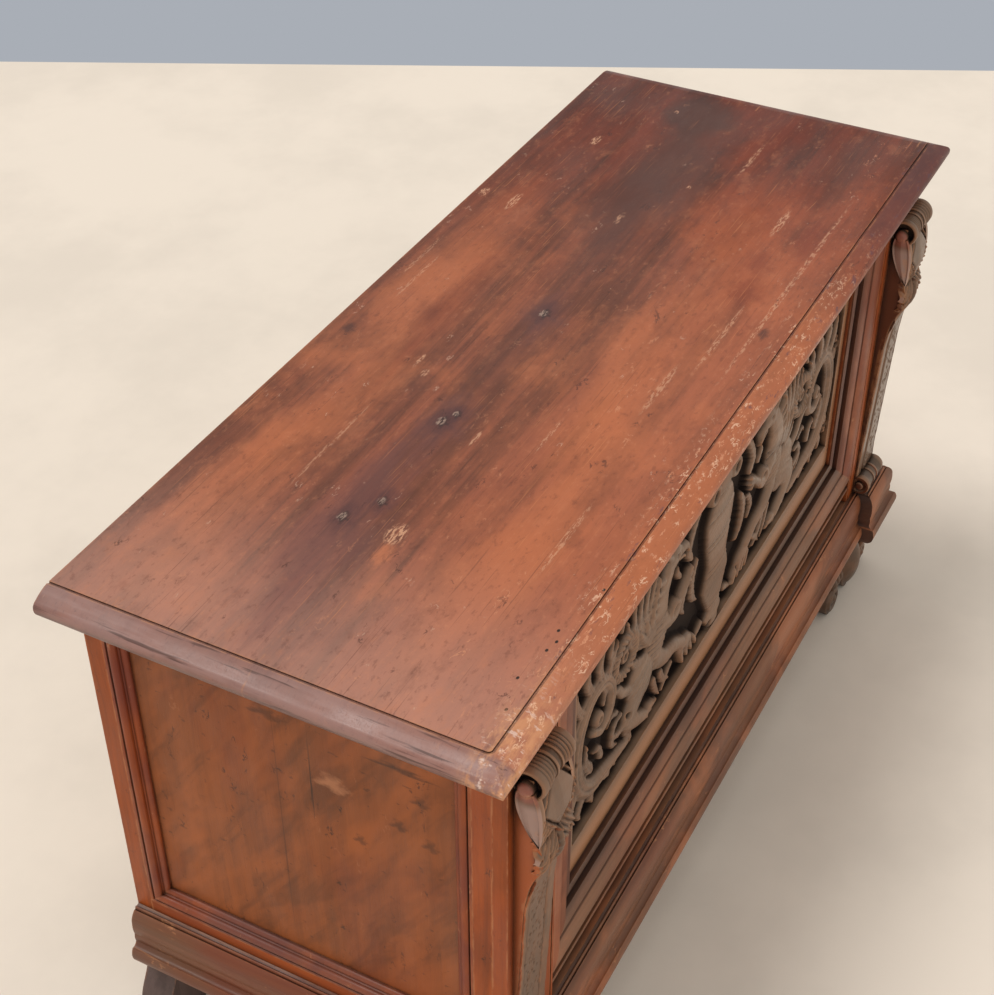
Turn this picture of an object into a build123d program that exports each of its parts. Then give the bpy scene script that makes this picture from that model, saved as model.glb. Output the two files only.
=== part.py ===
from build123d import *
import os

# A walnut cassone: a framed and panelled chest with a carved front panel between two scroll
# consoles, a moulded plinth that breaks forward under the consoles, carved front feet, plain
# rear feet and a moulded lid on two butt hinges. Millimetres, +Z up, front towards -Y, the
# length along X. The origin is the middle of the bounding box, at floor level.

# ---- Overall sizes ----
overall_height = 700.0
lid_length = 1274.0
lid_depth = 495.0
lid_end_overhang = 57.0
lid_front_overhang = 26.0

# ---- Fits ----
glue_gap = 0.1          # round a tenon, tongue or nail in its housing
lid_gap = 0.5           # between the closed lid and the carcass, set by the hinges
pin_clearance = 0.05    # radial, hinge pin in its knuckles
knuckle_gap = 0.4       # between neighbouring knuckles
hinge_air = 0.5         # between a knuckle and the back of the chest

# ---- Lid ----
lid_thickness = 28.0
lid_edge_width = 27.0         # moulded edge, from the scratched groove to the nose
lid_edge_drop = 15.0          # from the top down to the nose
lid_edge_fall = 4.5           # gentle fall of the top before the nose turns over
lid_nose_round = 5.0          # how far the underside of the nose tucks back
lid_groove_width = 3.0
lid_groove_depth = 1.6
lid_groove_corner = 7.0
lid_front_strip = 36.0        # width of the narrow front board, moulded edge included
lid_middle_board = 225.0
batten_width = 60.0
batten_thickness = 20.0
batten_inset = 90.0           # from the inner face of each end to the batten
batten_front_air = 14.0
batten_rear_air = 24.0

# ---- Ends ----
end_frame_thickness = 27.0
end_rear_flat = 21.0
end_front_flat = 21.5
end_moulding_width = 22.0
end_panel_sink = 12.5         # from the face of the frame to the face of the panel
end_panel_thickness = 11.0
end_panel_bottom = 231.0      # sight line
panel_drop = 64.5             # from the top of the carcass to the sight line of the panels
tongue_depth = 8.0
tenon_length = 22.0
tenon_thickness = 9.0
tenon_shoulder = 12.0

# ---- Front ----
facing_thickness = 16.3       # pilasters, fascias and mouldings in front of the frame
front_frame_thickness = 33.0
pilaster_width = 104.0
front_panel_bottom = 299.5
front_panel_drop = 78.0       # from the top of the carcass to the sight line of the front panel
front_moulding_width = 66.0
front_bead_width = 18.0        # low inner part of the moulding
front_quirk_place = 41.0       # from the opening to the quirk between the two upper members
front_moulding_edge = 2.0     # thickness of the moulding at the opening
front_panel_reveal = 4.0      # from the face of the frame to the border of the panel
front_panel_thickness = 26.0
front_panel_tongue = 10.0
front_tongue_set = 6.0        # from the face of the panel back to its tongue
carving_border = 42.0         # plain border under the carving
carving_side_border = 16.0    # at the sides and over it
carving_depth = 15.0
pilaster_quirks = (5.5, 20.0)   # from the inner edge of the pilaster
quirk_width = 2.4
quirk_depth = 2.0
fascia_groove = 13.5
fascia_fillet = 6.0

# ---- Plinth ----
plinth_top = 192.0
plinth_bottom = 108.0
plinth_reach = 25.7           # lower torus
plinth_neck_reach = 15.2
plinth_torus_reach = 16.5     # upper torus
block_break = 17.5            # how far the plinth steps forward under a console
block_width = 70.0
block_return_share = 0.5      # the inner return of the moulding is shallower

# ---- Consoles ----
console_width = 74.0
console_inset = 8.0           # from the end of the chest to the console
strip_inset = 4.0             # each side of the punched strip behind the leaf
scroll_radius = 18.0
scroll_forward = 15.5
scroll_drop = 44.0            # centre of the scroll below the top of the carcass
scroll_flare = 4.0            # each end of the scroll beyond the console
foot_scroll_radius = 15.0
foot_scroll_forward = 8.5
leaf_reach = 35.0
leaf_length = 127.5           # from the centre of the scroll down to the end of the leaf
leaf_notch_drop = 78.5        # from the centre of the scroll down to the notch of the leaf
strip_reach = 14.0
strip_reach_bottom = 6.0
strip_neck = 55.0             # below the leaf, where the strip swells out to meet it
strip_base = 53.0             # straight stretch over the plinth, behind the foot scroll
tongue_leaf_thickness = 3.0
tongue_leaf_length = 74.0
tongue_leaf_width = 29.0

# ---- Feet ----
front_foot_spread = 25.0      # beyond the end of the chest
front_foot_width = 192.0
front_foot_depth = 52.0
front_foot_forward = 20.0
foot_lobe_inset = 56.0        # from the end of the chest to the middle of the lobe
foot_lobe_radius = 34.0
foot_lobe_height = 86.0
foot_inner_scroll_gap = 68.0  # from the middle of the lobe to the middle of the scroll
foot_inner_scroll_radius = 27.0
foot_outer_scroll_gap = 58.0
foot_outer_scroll_radius = 22.0
foot_wing_depth = 44.0        # from the plinth down to the underside of the wings
foot_flat_share = 0.93        # a scroll stands on a narrow flat
foot_hole_radius = 9.0
rear_foot_thickness = 41.0
rear_foot_width = 104.0
rear_foot_flare = 24.0
rear_foot_toe_height = 50.0

# ---- Back, bottom and inside ----
back_thickness = 18.0
back_board_count = 3
bottom_thickness = 15.0
bottom_board_count = 3
cleat_section = 20.0
glue_block_width = 46.0
glue_block_height = 34.0

# ---- Ironwork ----
knuckle_radius = 4.5
hinge_pin_radius = 2.0
pin_head_radius = 3.2
pin_head_height = 1.5
hinge_length = 70.0
knuckle_count = 5
leaf_thickness = 2.0
leaf_width = 15.5
hinge_inset = 191.0           # from the end of the chest to the middle of the hinge
screws_per_leaf = 3
screw_radius = 1.8
screw_head_radius = 3.4
screw_head_height = 1.6
screw_length = 16.0
batten_screw_radius = 2.2
batten_screw_head = 4.4
batten_screw_length = 36.0
batten_screws = 4
nail_radius = 1.3
nail_head_radius = 3.4
nail_head_height = 1.2
nail_length = 34.0

# ---- Places worked out from the sizes ----
carcass_length = lid_length - 2 * lid_end_overhang
carcass_depth = lid_depth - lid_front_overhang
hinge_offset = knuckle_radius + hinge_air
overall_depth = block_break + plinth_reach + carcass_depth + hinge_offset + knuckle_radius
front_y = block_break + plinth_reach - overall_depth / 2
back_y = front_y + carcass_depth
end_x = carcass_length / 2
inner_x = end_x - end_frame_thickness
carcass_top = overall_height - lid_thickness - lid_gap
panel_top = carcass_top - panel_drop
front_panel_top = carcass_top - front_panel_drop
lid_under = overall_height - lid_thickness
frame_y = front_y + facing_thickness
frame_back_y = frame_y + front_frame_thickness
panel_y = frame_y + front_panel_reveal
end_opening_front = frame_y + end_front_flat
end_opening_back = back_y - end_rear_flat
end_opening_bottom = end_panel_bottom - end_moulding_width
end_opening_top = panel_top + end_moulding_width
facing_x = end_x - pilaster_width
opening_x = facing_x - front_moulding_width
facing_bottom = front_panel_bottom - front_moulding_width
facing_top = front_panel_top + front_moulding_width
back_inner_y = back_y - back_thickness
block_inner_x = end_x - block_width
console_outer_x = end_x - console_inset
console_inner_x = console_outer_x - console_width
scroll_z = carcass_top - scroll_drop
leaf_bottom = scroll_z - leaf_length
leaf_notch = scroll_z - leaf_notch_drop
strip_inner_x = console_inner_x + strip_inset
strip_outer_x = console_outer_x - strip_inset
front_foot_outer_x = end_x + front_foot_spread
front_foot_inner_x = front_foot_outer_x - front_foot_width
foot_lobe_x = end_x - foot_lobe_inset
foot_inner_scroll_x = foot_lobe_x - foot_inner_scroll_gap
foot_outer_scroll_x = foot_lobe_x + foot_outer_scroll_gap
hinge_x = end_x - hinge_inset
hinge_y = back_y + hinge_offset
hinge_z = lid_under - lid_gap / 2
lid_front_y = back_y - lid_depth
SIDES = (("left", -1), ("right", 1))

os.makedirs("parts", exist_ok=True)
nodes = {}


# ---- Small helpers ----

def block(x0, x1, y0, y1, z0, z1):
    """A squared board between two corners."""
    size = (abs(x1 - x0), abs(y1 - y0), abs(z1 - z0))
    return Pos((x0 + x1) / 2, (y0 + y1) / 2, (z0 + z1) / 2) * Box(*size)


def run(profile, start, direction, outward, length):
    """A moulding: a profile drawn as (reach, height) is carried along a straight line.

    The profile faces outward; direction is the way the moulding runs from start.
    """
    plane = Plane(origin=start, x_dir=outward, z_dir=direction)
    if plane.y_dir.Z < 0:
        start = tuple(s + length * d for s, d in zip(start, direction))
        plane = Plane(origin=start, x_dir=outward, z_dir=tuple(-d for d in direction))
    return extrude(plane * profile, length)


def strip_run(profile, corners, index, normal):
    """One side of a mitred frame of mouldings.

    The profile is drawn as (way out from the opening, way forward of the frame). Corners go
    round the opening; the moulding lies outside it, and its ends are cut at the mitres.
    """
    a = Vector(*corners[index])
    b = Vector(*corners[(index + 1) % 4])
    middle = (Vector(*corners[0]) + Vector(*corners[2])) * 0.5
    along = (b - a).normalized()
    out = (a + b) * 0.5 - middle
    out = (out - along * out.dot(along)).normalized()
    width = profile.bounding_box().max.X
    start = a - along * width
    length = (b - a).length + 2 * width
    plane = Plane(origin=tuple(start), x_dir=tuple(out), z_dir=tuple(out.cross(Vector(*normal))))
    if plane.z_dir.dot(along) < 0:
        plane = Plane(origin=tuple(start + along * length), x_dir=tuple(out), z_dir=tuple(-along))
    solid = extrude(plane * profile, length)
    face = Polyline(
        tuple(a), tuple(a - along * width + out * width),
        tuple(b + along * width + out * width), tuple(b), close=True,
    )
    depth = 4 * width
    keep = extrude(make_face(face), depth, dir=normal, both=True)
    return solid & keep


def add(name, shape):
    """Keep a sub-part under its node name."""
    solids = shape.solids()
    nodes[name] = solids[0] if len(solids) == 1 else Compound(children=list(solids))


def headed_pin(radius, length, head_radius, head_height):
    """A nail or screw standing head down on its head, pointing along +Z from z = 0."""
    shank = Cylinder(radius, length, align=(Align.CENTER, Align.CENTER, Align.MIN))
    head = Cylinder(head_radius, head_height, align=(Align.CENTER, Align.CENTER, Align.MIN))
    return shank + head


def spread(count, low, high):
    """Evenly spaced places, half a step in from both ends."""
    step = (high - low) / count
    return [low + step * (i + 0.5) for i in range(count)]


def mirror_x(shape, side):
    """The shape as built on the right, or its twin on the left."""
    return shape if side > 0 else mirror(shape, Plane.YZ)


# ---- Ends ----

def end_moulding_profile():
    """Section of the end panel's moulding: (way out from the panel, height over the panel)."""
    w = end_moulding_width
    h = end_panel_sink
    line = [
        Line((0, 0), (0, 0.18 * h)),
        ThreePointArc((0, 0.18 * h), (0.10 * w, 0.46 * h), (0.30 * w, 0.50 * h)),
        Line((0.30 * w, 0.50 * h), (0.34 * w, 0.62 * h)),
        ThreePointArc((0.34 * w, 0.62 * h), (0.55 * w, 1.12 * h), (0.80 * w, 0.80 * h)),
        Line((0.80 * w, 0.80 * h), (0.86 * w, h)),
        Line((0.86 * w, h), (w, h)),
        Line((w, h), (w, 0)),
        Line((w, 0), (0, 0)),
    ]
    return make_face(line)


def build_end(label, side):
    """Stiles, rails, panel and moulding of one end."""
    stile_z = (plinth_bottom, carcass_top)
    groove_x = (end_x - end_panel_sink + glue_gap, end_x - end_panel_sink - end_panel_thickness - glue_gap)
    tenon_x0 = inner_x + (end_frame_thickness - tenon_thickness) / 2
    tenon_x = (tenon_x0, tenon_x0 + tenon_thickness)

    groove = block(
        groove_x[0], groove_x[1],
        end_opening_front - tongue_depth - glue_gap, end_opening_back + tongue_depth + glue_gap,
        end_opening_bottom - tongue_depth - glue_gap, end_opening_top + tongue_depth + glue_gap,
    )
    rails = {
        "bottom": (plinth_bottom, end_opening_bottom),
        "top": (end_opening_top, carcass_top),
    }
    tenon_reach = min(tenon_length, end_rear_flat - 6, end_front_flat - 6)
    mortises = []
    for rail, (z0, z1) in rails.items():
        wood = block(inner_x, end_x, end_opening_front, end_opening_back, z0, z1)
        tenon_z = (z0 + tenon_shoulder, z1 - tenon_shoulder)
        tenon = block(
            *tenon_x, end_opening_front - tenon_reach, end_opening_back + tenon_reach, *tenon_z,
        )
        mortises.append(block(
            tenon_x[0] - glue_gap, tenon_x[1] + glue_gap,
            end_opening_front - tenon_reach - glue_gap, end_opening_back + tenon_reach + glue_gap,
            tenon_z[0] - glue_gap, tenon_z[1] + glue_gap,
        ))
        add(f"end_{rail}_rail_{label}", mirror_x(wood + tenon - groove, side))

    stiles = {
        "front": block(inner_x, end_x, frame_y, end_opening_front, *stile_z),
        "rear": block(inner_x, end_x, end_opening_back, back_y, *stile_z),
    }
    for stile, wood in stiles.items():
        for mortise in mortises:
            wood -= mortise
        add(f"end_{stile}_stile_{label}", mirror_x(wood - groove, side))

    panel = block(
        groove_x[0] - glue_gap, groove_x[1] + glue_gap,
        end_opening_front - tongue_depth, end_opening_back + tongue_depth,
        end_opening_bottom - tongue_depth, end_opening_top + tongue_depth,
    )
    add(f"end_panel_{label}", mirror_x(panel, side))

    face_x = end_x - end_panel_sink
    low = (end_opening_front + end_moulding_width, end_panel_bottom)
    high = (end_opening_back - end_moulding_width, panel_top)
    corners = [
        (face_x, low[0], low[1]), (face_x, high[0], low[1]),
        (face_x, high[0], high[1]), (face_x, low[0], high[1]),
    ]
    profile = end_moulding_profile()
    strips = [strip_run(profile, corners, i, (1, 0, 0)) for i in range(4)]
    solids = [mirror_x(s, side).solid() for s in strips]
    nodes[f"end_moulding_{label}"] = Compound(children=solids)


# ---- Front ----

def front_moulding_profile():
    """Section of the panel's moulding: (way out from the opening, way forward of the frame)."""
    width = front_moulding_width
    bead = front_bead_width
    edge = front_moulding_edge
    rise = facing_thickness
    quirk = front_quirk_place
    return make_face([
        Line((0, 0), (0, edge)),
        ThreePointArc((0, edge), (0.4 * bead, 1.7 * edge), (0.8 * bead, 0.8 * edge)),
        Line((0.8 * bead, 0.8 * edge), (bead, 0.5 * edge)),
        Line((bead, 0.5 * edge), (bead, 0.44 * rise)),
        ThreePointArc(
            (bead, 0.44 * rise), (0.5 * (bead + quirk) - 1, 0.68 * rise), (quirk - 2, 0.66 * rise),
        ),
        Line((quirk - 2, 0.66 * rise), (quirk, 0.58 * rise)),
        Line((quirk, 0.58 * rise), (quirk + 1, 0.74 * rise)),
        ThreePointArc(
            (quirk + 1, 0.74 * rise), (quirk + 10, 0.96 * rise), (width - 3, rise),
        ),
        Line((width - 3, rise), (width, rise)),
        Line((width, rise), (width, 0)),
        Line((width, 0), (0, 0)),
    ])


def build_front():
    """Frame, facing, mouldings and carved panel of the front."""
    tongue_y = (panel_y + front_tongue_set, panel_y + front_tongue_set + front_panel_tongue)
    groove = block(
        -opening_x - tongue_depth - glue_gap, opening_x + tongue_depth + glue_gap,
        tongue_y[0] - glue_gap, tongue_y[1] + glue_gap,
        front_panel_bottom - tongue_depth - glue_gap, front_panel_top + tongue_depth + glue_gap,
    )
    tenon_y0 = frame_y + (front_frame_thickness - tenon_thickness) / 2
    tenon_y = (tenon_y0, tenon_y0 + tenon_thickness)
    rails = {
        "bottom": (plinth_bottom, front_panel_bottom),
        "top": (front_panel_top, carcass_top),
    }
    mortises = []
    for rail, (z0, z1) in rails.items():
        wood = block(-opening_x, opening_x, frame_y, frame_back_y, z0, z1)
        tenon_z = (z0 + tenon_shoulder, z1 - tenon_shoulder)
        reach = opening_x + 2 * tenon_length
        tenon = block(-reach, reach, *tenon_y, *tenon_z)
        mortises.append(block(
            -reach - glue_gap, reach + glue_gap, tenon_y[0] - glue_gap, tenon_y[1] + glue_gap,
            tenon_z[0] - glue_gap, tenon_z[1] + glue_gap,
        ))
        add(f"front_{rail}_rail", wood + tenon - groove)
    for label, side in SIDES:
        stile = block(
            side * opening_x, side * inner_x, frame_y, frame_back_y, plinth_bottom, carcass_top,
        )
        for mortise in mortises:
            stile -= mortise
        add(f"front_stile_{label}", stile - groove)
        pilaster = block(
            side * facing_x, side * end_x, front_y, frame_y, plinth_bottom, carcass_top,
        )
        for quirk in pilaster_quirks:
            x = facing_x + quirk
            pilaster -= block(
                side * (x - quirk_width / 2), side * (x + quirk_width / 2),
                front_y - 1, front_y + quirk_depth, plinth_bottom - 1, carcass_top + 1,
            )
        add(f"front_pilaster_{label}", pilaster)

    fascia = block(-facing_x, facing_x, front_y, frame_y, plinth_bottom, facing_bottom)
    fillet_top = facing_bottom - fascia_groove
    sinkings = (
        (fillet_top, facing_bottom + 1, 0.32 * facing_thickness),
        (fillet_top - fascia_fillet, fillet_top, 0.06 * facing_thickness),
        (plinth_top, fillet_top - fascia_fillet, 0.72 * facing_thickness),
    )
    for z0, z1, depth in sinkings:
        fascia -= block(-facing_x - 1, facing_x + 1, front_y - 1, front_y + depth, z0, z1)
    add("front_fascia_bottom", fascia)
    add("front_fascia_top", block(-facing_x, facing_x, front_y, frame_y, facing_top, carcass_top))

    panel = block(
        -opening_x + glue_gap, opening_x - glue_gap, panel_y, panel_y + front_panel_thickness,
        front_panel_bottom + glue_gap, front_panel_top - glue_gap,
    )
    panel += block(
        -opening_x - tongue_depth, opening_x + tongue_depth, *tongue_y,
        front_panel_bottom - tongue_depth, front_panel_top + tongue_depth,
    )
    panel -= carving_ground()
    panel += carving_masses()
    add("front_panel", panel)

    corners = [
        (-opening_x, frame_y, front_panel_bottom), (opening_x, frame_y, front_panel_bottom),
        (opening_x, frame_y, front_panel_top), (-opening_x, frame_y, front_panel_top),
    ]
    profile = front_moulding_profile()
    for i, name in enumerate(("bottom", "right", "top", "left")):
        add(f"front_moulding_{name}", strip_run(profile, corners, i, (0, -1, 0)))


def carving_field():
    """Half length, bottom and top of the sunk field of the carved panel."""
    return (
        opening_x - carving_side_border, front_panel_bottom + carving_border, front_panel_top - carving_side_border,
    )


def carving_ground():
    """The sinking that the carver left behind the relief."""
    half, low, high = carving_field()
    return block(-half, half, panel_y - 1, panel_y + carving_depth, low, high)


def relief(shape, z, x, height):
    """A flat mass of the relief that stands on the sunk ground."""
    plane = Plane(origin=(x, panel_y + carving_depth, z), x_dir=(1, 0, 0), z_dir=(0, -1, 0))
    return extrude(plane * shape, height)


def carving_masses():
    """Main masses of the relief: baluster, two confronted beasts, scrolls towards the ends."""
    half, low, high = carving_field()
    middle = (low + high) / 2
    field = high - low
    full = carving_depth - 1
    baluster = make_face(Spline(
        (-10, -field / 2), (-26, -0.34 * field), (-14, -0.12 * field), (-30, 0.16 * field),
        (-20, 0.36 * field), (-12, field / 2),
    ) + Line((-12, field / 2), (12, field / 2)) + Spline(
        (12, field / 2), (20, 0.36 * field), (30, 0.16 * field), (14, -0.12 * field),
        (26, -0.34 * field), (10, -field / 2),
    ) + Line((10, -field / 2), (-10, -field / 2)))
    masses = relief(baluster, middle, 0, full)
    for side in (-1, 1):
        body = Rot(0, 0, -side * 24) * Ellipse(30, 0.30 * field)
        masses += relief(body, middle + 0.08 * field, side * 0.246 * half, full)
        head = Ellipse(22, 17)
        masses += relief(head, middle + 0.30 * field, side * 0.155 * half, full - 1)
        limb = Rot(0, 0, side * 48) * SlotOverall(0.62 * field, 17)
        masses += relief(limb, middle - 0.24 * field, side * 0.316 * half, full - 2)
        paw = Ellipse(23, 13)
        masses += relief(paw, middle - 0.40 * field, side * 0.139 * half, full - 3)
        coil = Ellipse(27, 27) - Ellipse(13, 13)
        masses += relief(coil, middle + 0.16 * field, side * 0.449 * half, full - 1)
        scroll = Ellipse(60, 0.40 * field) - Pos(0, 8) * Ellipse(44, 0.24 * field)
        masses += relief(scroll, middle, side * 0.674 * half, full)
        masses += relief(Ellipse(22, 22), middle, side * 0.658 * half, full - 2)
        leaf = Rot(0, 0, side * 30) * Ellipse(34, 0.16 * field)
        masses += relief(leaf, middle - 0.22 * field, side * 0.872 * half, full - 2)
        masses += relief(mirror(leaf, Plane.XZ), middle + 0.24 * field, side * 0.882 * half, full - 2)
    return masses


# ---- Plinth ----

def plinth_profile(core, share=1.0):
    """Section of the plinth moulding, with a core behind it: (reach, height)."""
    rise = plinth_top - plinth_bottom
    neck = plinth_neck_reach * share
    upper = plinth_torus_reach * share
    reach = plinth_reach * share
    shelf = 0.89 * reach
    z = plinth_bottom
    back = [(0.62 * reach, z), (0, z), (0, z + rise)]
    if core > 0:
        back[1:1] = [(-core, z), (-core, z + rise)]
        back.remove((0, z))
    return make_face([
        Line((0, z + rise), (0.20 * upper, z + 0.985 * rise)),
        ThreePointArc(
            (0.20 * upper, z + 0.985 * rise), (0.29 * upper, z + rise), (0.38 * upper, z + 0.985 * rise),
        ),
        Line((0.38 * upper, z + 0.985 * rise), (0.42 * upper, z + 0.955 * rise)),
        Line((0.42 * upper, z + 0.955 * rise), (0.51 * upper, z + 0.965 * rise)),
        ThreePointArc(
            (0.51 * upper, z + 0.965 * rise), (0.84 * upper, z + 0.89 * rise), (0.97 * upper, z + 0.78 * rise),
        ),
        ThreePointArc((0.97 * upper, z + 0.78 * rise), (upper, z + 0.70 * rise), (neck, z + 0.55 * rise)),
        ThreePointArc((neck, z + 0.55 * rise), (1.05 * neck, z + 0.46 * rise), (neck, z + 0.40 * rise)),
        ThreePointArc((neck, z + 0.40 * rise), (1.18 * neck, z + 0.35 * rise), (shelf, z + 0.335 * rise)),
        ThreePointArc((shelf, z + 0.335 * rise), (reach, z + 0.20 * rise), (0.62 * reach, z)),
        Polyline(*back),
    ])


def plinth_block():
    """The part of the plinth that breaks forward under the right console, with its returns."""
    forward = block_break + plinth_reach
    width = end_x - block_inner_x
    span = 4 * width
    across = run(
        plinth_profile(block_break), (end_x - span / 2, front_y - block_break, 0), (1, 0, 0),
        (0, -1, 0), span,
    )
    outer = run(
        plinth_profile(span), (end_x, front_y - forward, 0), (0, 1, 0), (1, 0, 0), forward,
    )
    inner = run(
        plinth_profile(span, block_return_share), (block_inner_x, front_y - forward, 0), (0, 1, 0),
        (-1, 0, 0), forward,
    )
    return across & outer & inner


def build_plinth():
    """Moulding along the front and the ends, and the blocks that break forward."""
    front = run(
        plinth_profile(0), (-block_inner_x, front_y, 0), (1, 0, 0), (0, -1, 0), 2 * block_inner_x,
    )
    for label, side in SIDES:
        corner = mirror_x(plinth_block(), side)
        front -= corner
        add(f"plinth_block_{label}", corner)
        add(f"plinth_{label}", mirror_x(run(
            plinth_profile(0), (end_x, front_y, 0), (0, 1, 0), (1, 0, 0), carcass_depth,
        ), side))
    add("plinth_front", max(front.solids(), key=lambda piece: piece.volume))


# ---- Consoles ----

def console_front():
    """Outline of the console seen from the side: (way forward, height)."""
    base = (strip_reach_bottom, plinth_top + strip_base)
    neck = (strip_reach, leaf_bottom - strip_neck)
    swell = (strip_reach + 0.3 * strip_reach, leaf_bottom - 0.62 * strip_neck)
    return make_face([
        Line((0, plinth_top), (strip_reach_bottom, plinth_top)),
        Line((strip_reach_bottom, plinth_top), base),
        Spline(base, (0.5 * (base[0] + neck[0]), 0.48 * base[1] + 0.52 * neck[1]), neck),
        Spline(neck, swell, (0.72 * leaf_reach, leaf_bottom)),
        ThreePointArc(
            (0.72 * leaf_reach, leaf_bottom), (leaf_reach, leaf_bottom + 24),
            (0.88 * leaf_reach, leaf_notch),
        ),
        ThreePointArc(
            (0.88 * leaf_reach, leaf_notch), (leaf_reach, leaf_notch + 19),
            (0.70 * leaf_reach, leaf_notch + 46),
        ),
        Line((0.70 * leaf_reach, leaf_notch + 46), (scroll_forward, scroll_z)),
        Line((scroll_forward, scroll_z), (0, scroll_z)),
        Line((0, scroll_z), (0, plinth_top)),
    ])


def across_console(profile, x0, x1):
    """A profile drawn (way forward, height) and carried across the console."""
    return run(profile, (x0, front_y, 0), (1, 0, 0), (0, -1, 0), x1 - x0)


def build_console(label, side):
    """Scroll console: scroll, leaf, punched strip and foot scroll."""
    shape = across_console(console_front(), strip_inner_x, strip_outer_x)
    flare_low = leaf_bottom + 8
    side_leaf = make_face(Polyline(
        (0, flare_low), (0.6 * leaf_reach, flare_low), (0.8 * leaf_reach, leaf_notch),
        (0.8 * leaf_reach, leaf_notch + 30), (0.5 * leaf_reach, scroll_z), (0, scroll_z), close=True,
    ))
    shape += across_console(side_leaf, console_inner_x, console_outer_x)
    scroll = Pos(scroll_forward, scroll_z) * Circle(scroll_radius)
    scroll = scroll & (Pos(scroll_radius, scroll_z) * Rectangle(2 * scroll_radius, 4 * scroll_radius))
    shape += across_console(scroll, console_inner_x - scroll_flare, console_outer_x + scroll_flare)
    boss = Pos(scroll_forward - 2, scroll_z - 3) * Circle(0.45 * scroll_radius)
    shape += across_console(boss, console_inner_x - 2 * scroll_flare, console_outer_x + 2 * scroll_flare)
    tongue = make_face(Spline(
        (scroll_forward - 0.5 * tongue_leaf_width, scroll_z - 6),
        (scroll_forward - 0.2 * tongue_leaf_width, scroll_z - 0.6 * tongue_leaf_length),
        (scroll_forward + 0.48 * tongue_leaf_width, scroll_z - tongue_leaf_length),
    ) + Spline(
        (scroll_forward + 0.48 * tongue_leaf_width, scroll_z - tongue_leaf_length),
        (scroll_forward + 0.5 * tongue_leaf_width, scroll_z - 0.5 * tongue_leaf_length),
        (scroll_forward + 0.3 * tongue_leaf_width, scroll_z - 6),
    ) + Line(
        (scroll_forward + 0.3 * tongue_leaf_width, scroll_z - 6),
        (scroll_forward - 0.5 * tongue_leaf_width, scroll_z - 6),
    ))
    shape += across_console(
        tongue, console_inner_x - tongue_leaf_thickness, console_outer_x + tongue_leaf_thickness,
    )
    foot_z = plinth_top + foot_scroll_radius
    foot = Pos(foot_scroll_forward, foot_z) * Circle(foot_scroll_radius)
    foot = foot & (Pos(foot_scroll_radius, foot_z) * Rectangle(2 * foot_scroll_radius, 60))
    shape += across_console(foot, console_inner_x, console_outer_x)
    eye = Pos(foot_scroll_forward, foot_z) * Circle(0.4 * foot_scroll_radius)
    shape += across_console(eye, console_inner_x - 2, console_outer_x + 2)
    add(f"console_{label}", mirror_x(shape, side))


# ---- Feet ----

def build_front_foot(label, side):
    """Carved foot: a middle lobe between two scrolls that curl away from it."""
    top = plinth_bottom
    wing = top - foot_wing_depth
    sketch = make_face(Polyline(
        (front_foot_inner_x, top), (front_foot_inner_x, top - 8),
        (foot_inner_scroll_x - foot_inner_scroll_radius, wing), (foot_outer_scroll_x, wing),
        (front_foot_outer_x, top - 14), (front_foot_outer_x, top), close=True,
    ))
    sketch += Pos(foot_lobe_x, foot_lobe_height / 2) * Ellipse(foot_lobe_radius, 0.62 * foot_lobe_height)
    scrolls = (
        (foot_inner_scroll_x, foot_inner_scroll_radius), (foot_outer_scroll_x, foot_outer_scroll_radius),
    )
    for x, radius in scrolls:
        sketch += Pos(x, foot_flat_share * radius) * Circle(radius)
        sketch += Pos(x, (radius + top) / 2) * Rectangle(1.3 * radius, top - radius)
        hole_x = (x + foot_lobe_x + (radius - foot_lobe_radius) * (1 if x < foot_lobe_x else -1)) / 2
        sketch -= Pos(hole_x, wing - foot_hole_radius) * Ellipse(0.6 * foot_hole_radius, foot_hole_radius)
    floor_cut = Pos(foot_lobe_x, top / 2) * Rectangle(2 * (front_foot_outer_x - front_foot_inner_x), top)
    sketch = sketch & floor_cut
    start = (0, front_y - front_foot_forward, 0)
    foot = run(sketch, start, (0, 1, 0), (1, 0, 0), front_foot_depth)
    add(f"front_foot_{label}", mirror_x(foot, side))


def build_rear_foot(label, side):
    """Plain board foot that flares towards the floor."""
    out = end_x
    toe = rear_foot_toe_height
    outline = make_face([
        Line((out - rear_foot_width, plinth_bottom), (out - 2, plinth_bottom)),
        Spline(
            (out - 2, plinth_bottom), (out + 0.35 * rear_foot_flare, 0.5 * (plinth_bottom + toe)),
            (out + 0.95 * rear_foot_flare, toe), (out + rear_foot_flare, 0.4 * toe),
            (out + 0.8 * rear_foot_flare, 0),
        ),
        Line((out + 0.8 * rear_foot_flare, 0), (out - 0.42 * rear_foot_width, 0)),
        Spline(
            (out - 0.42 * rear_foot_width, 0), (out - 0.5 * rear_foot_width, toe),
            (out - rear_foot_width, plinth_bottom),
        ),
    ])
    foot = run(outline, (0, back_y - rear_foot_thickness, 0), (0, 1, 0), (1, 0, 0), rear_foot_thickness)
    add(f"rear_foot_{label}", mirror_x(foot, side))


# ---- Back, bottom and inside ----

def back_board_edges():
    """Heights of the joints between the back boards, bottom and top included."""
    step = (carcass_top - plinth_bottom) / back_board_count
    return [plinth_bottom + i * step for i in range(back_board_count + 1)]


def nail_places():
    """(x, z) of the nails that hold the back boards, for the right side."""
    x = inner_x - cleat_section / 2
    edges = back_board_edges()
    places = []
    for low, high in zip(edges, edges[1:]):
        for z in spread(2, low, high):
            places.append((x, z))
    return places


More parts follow.
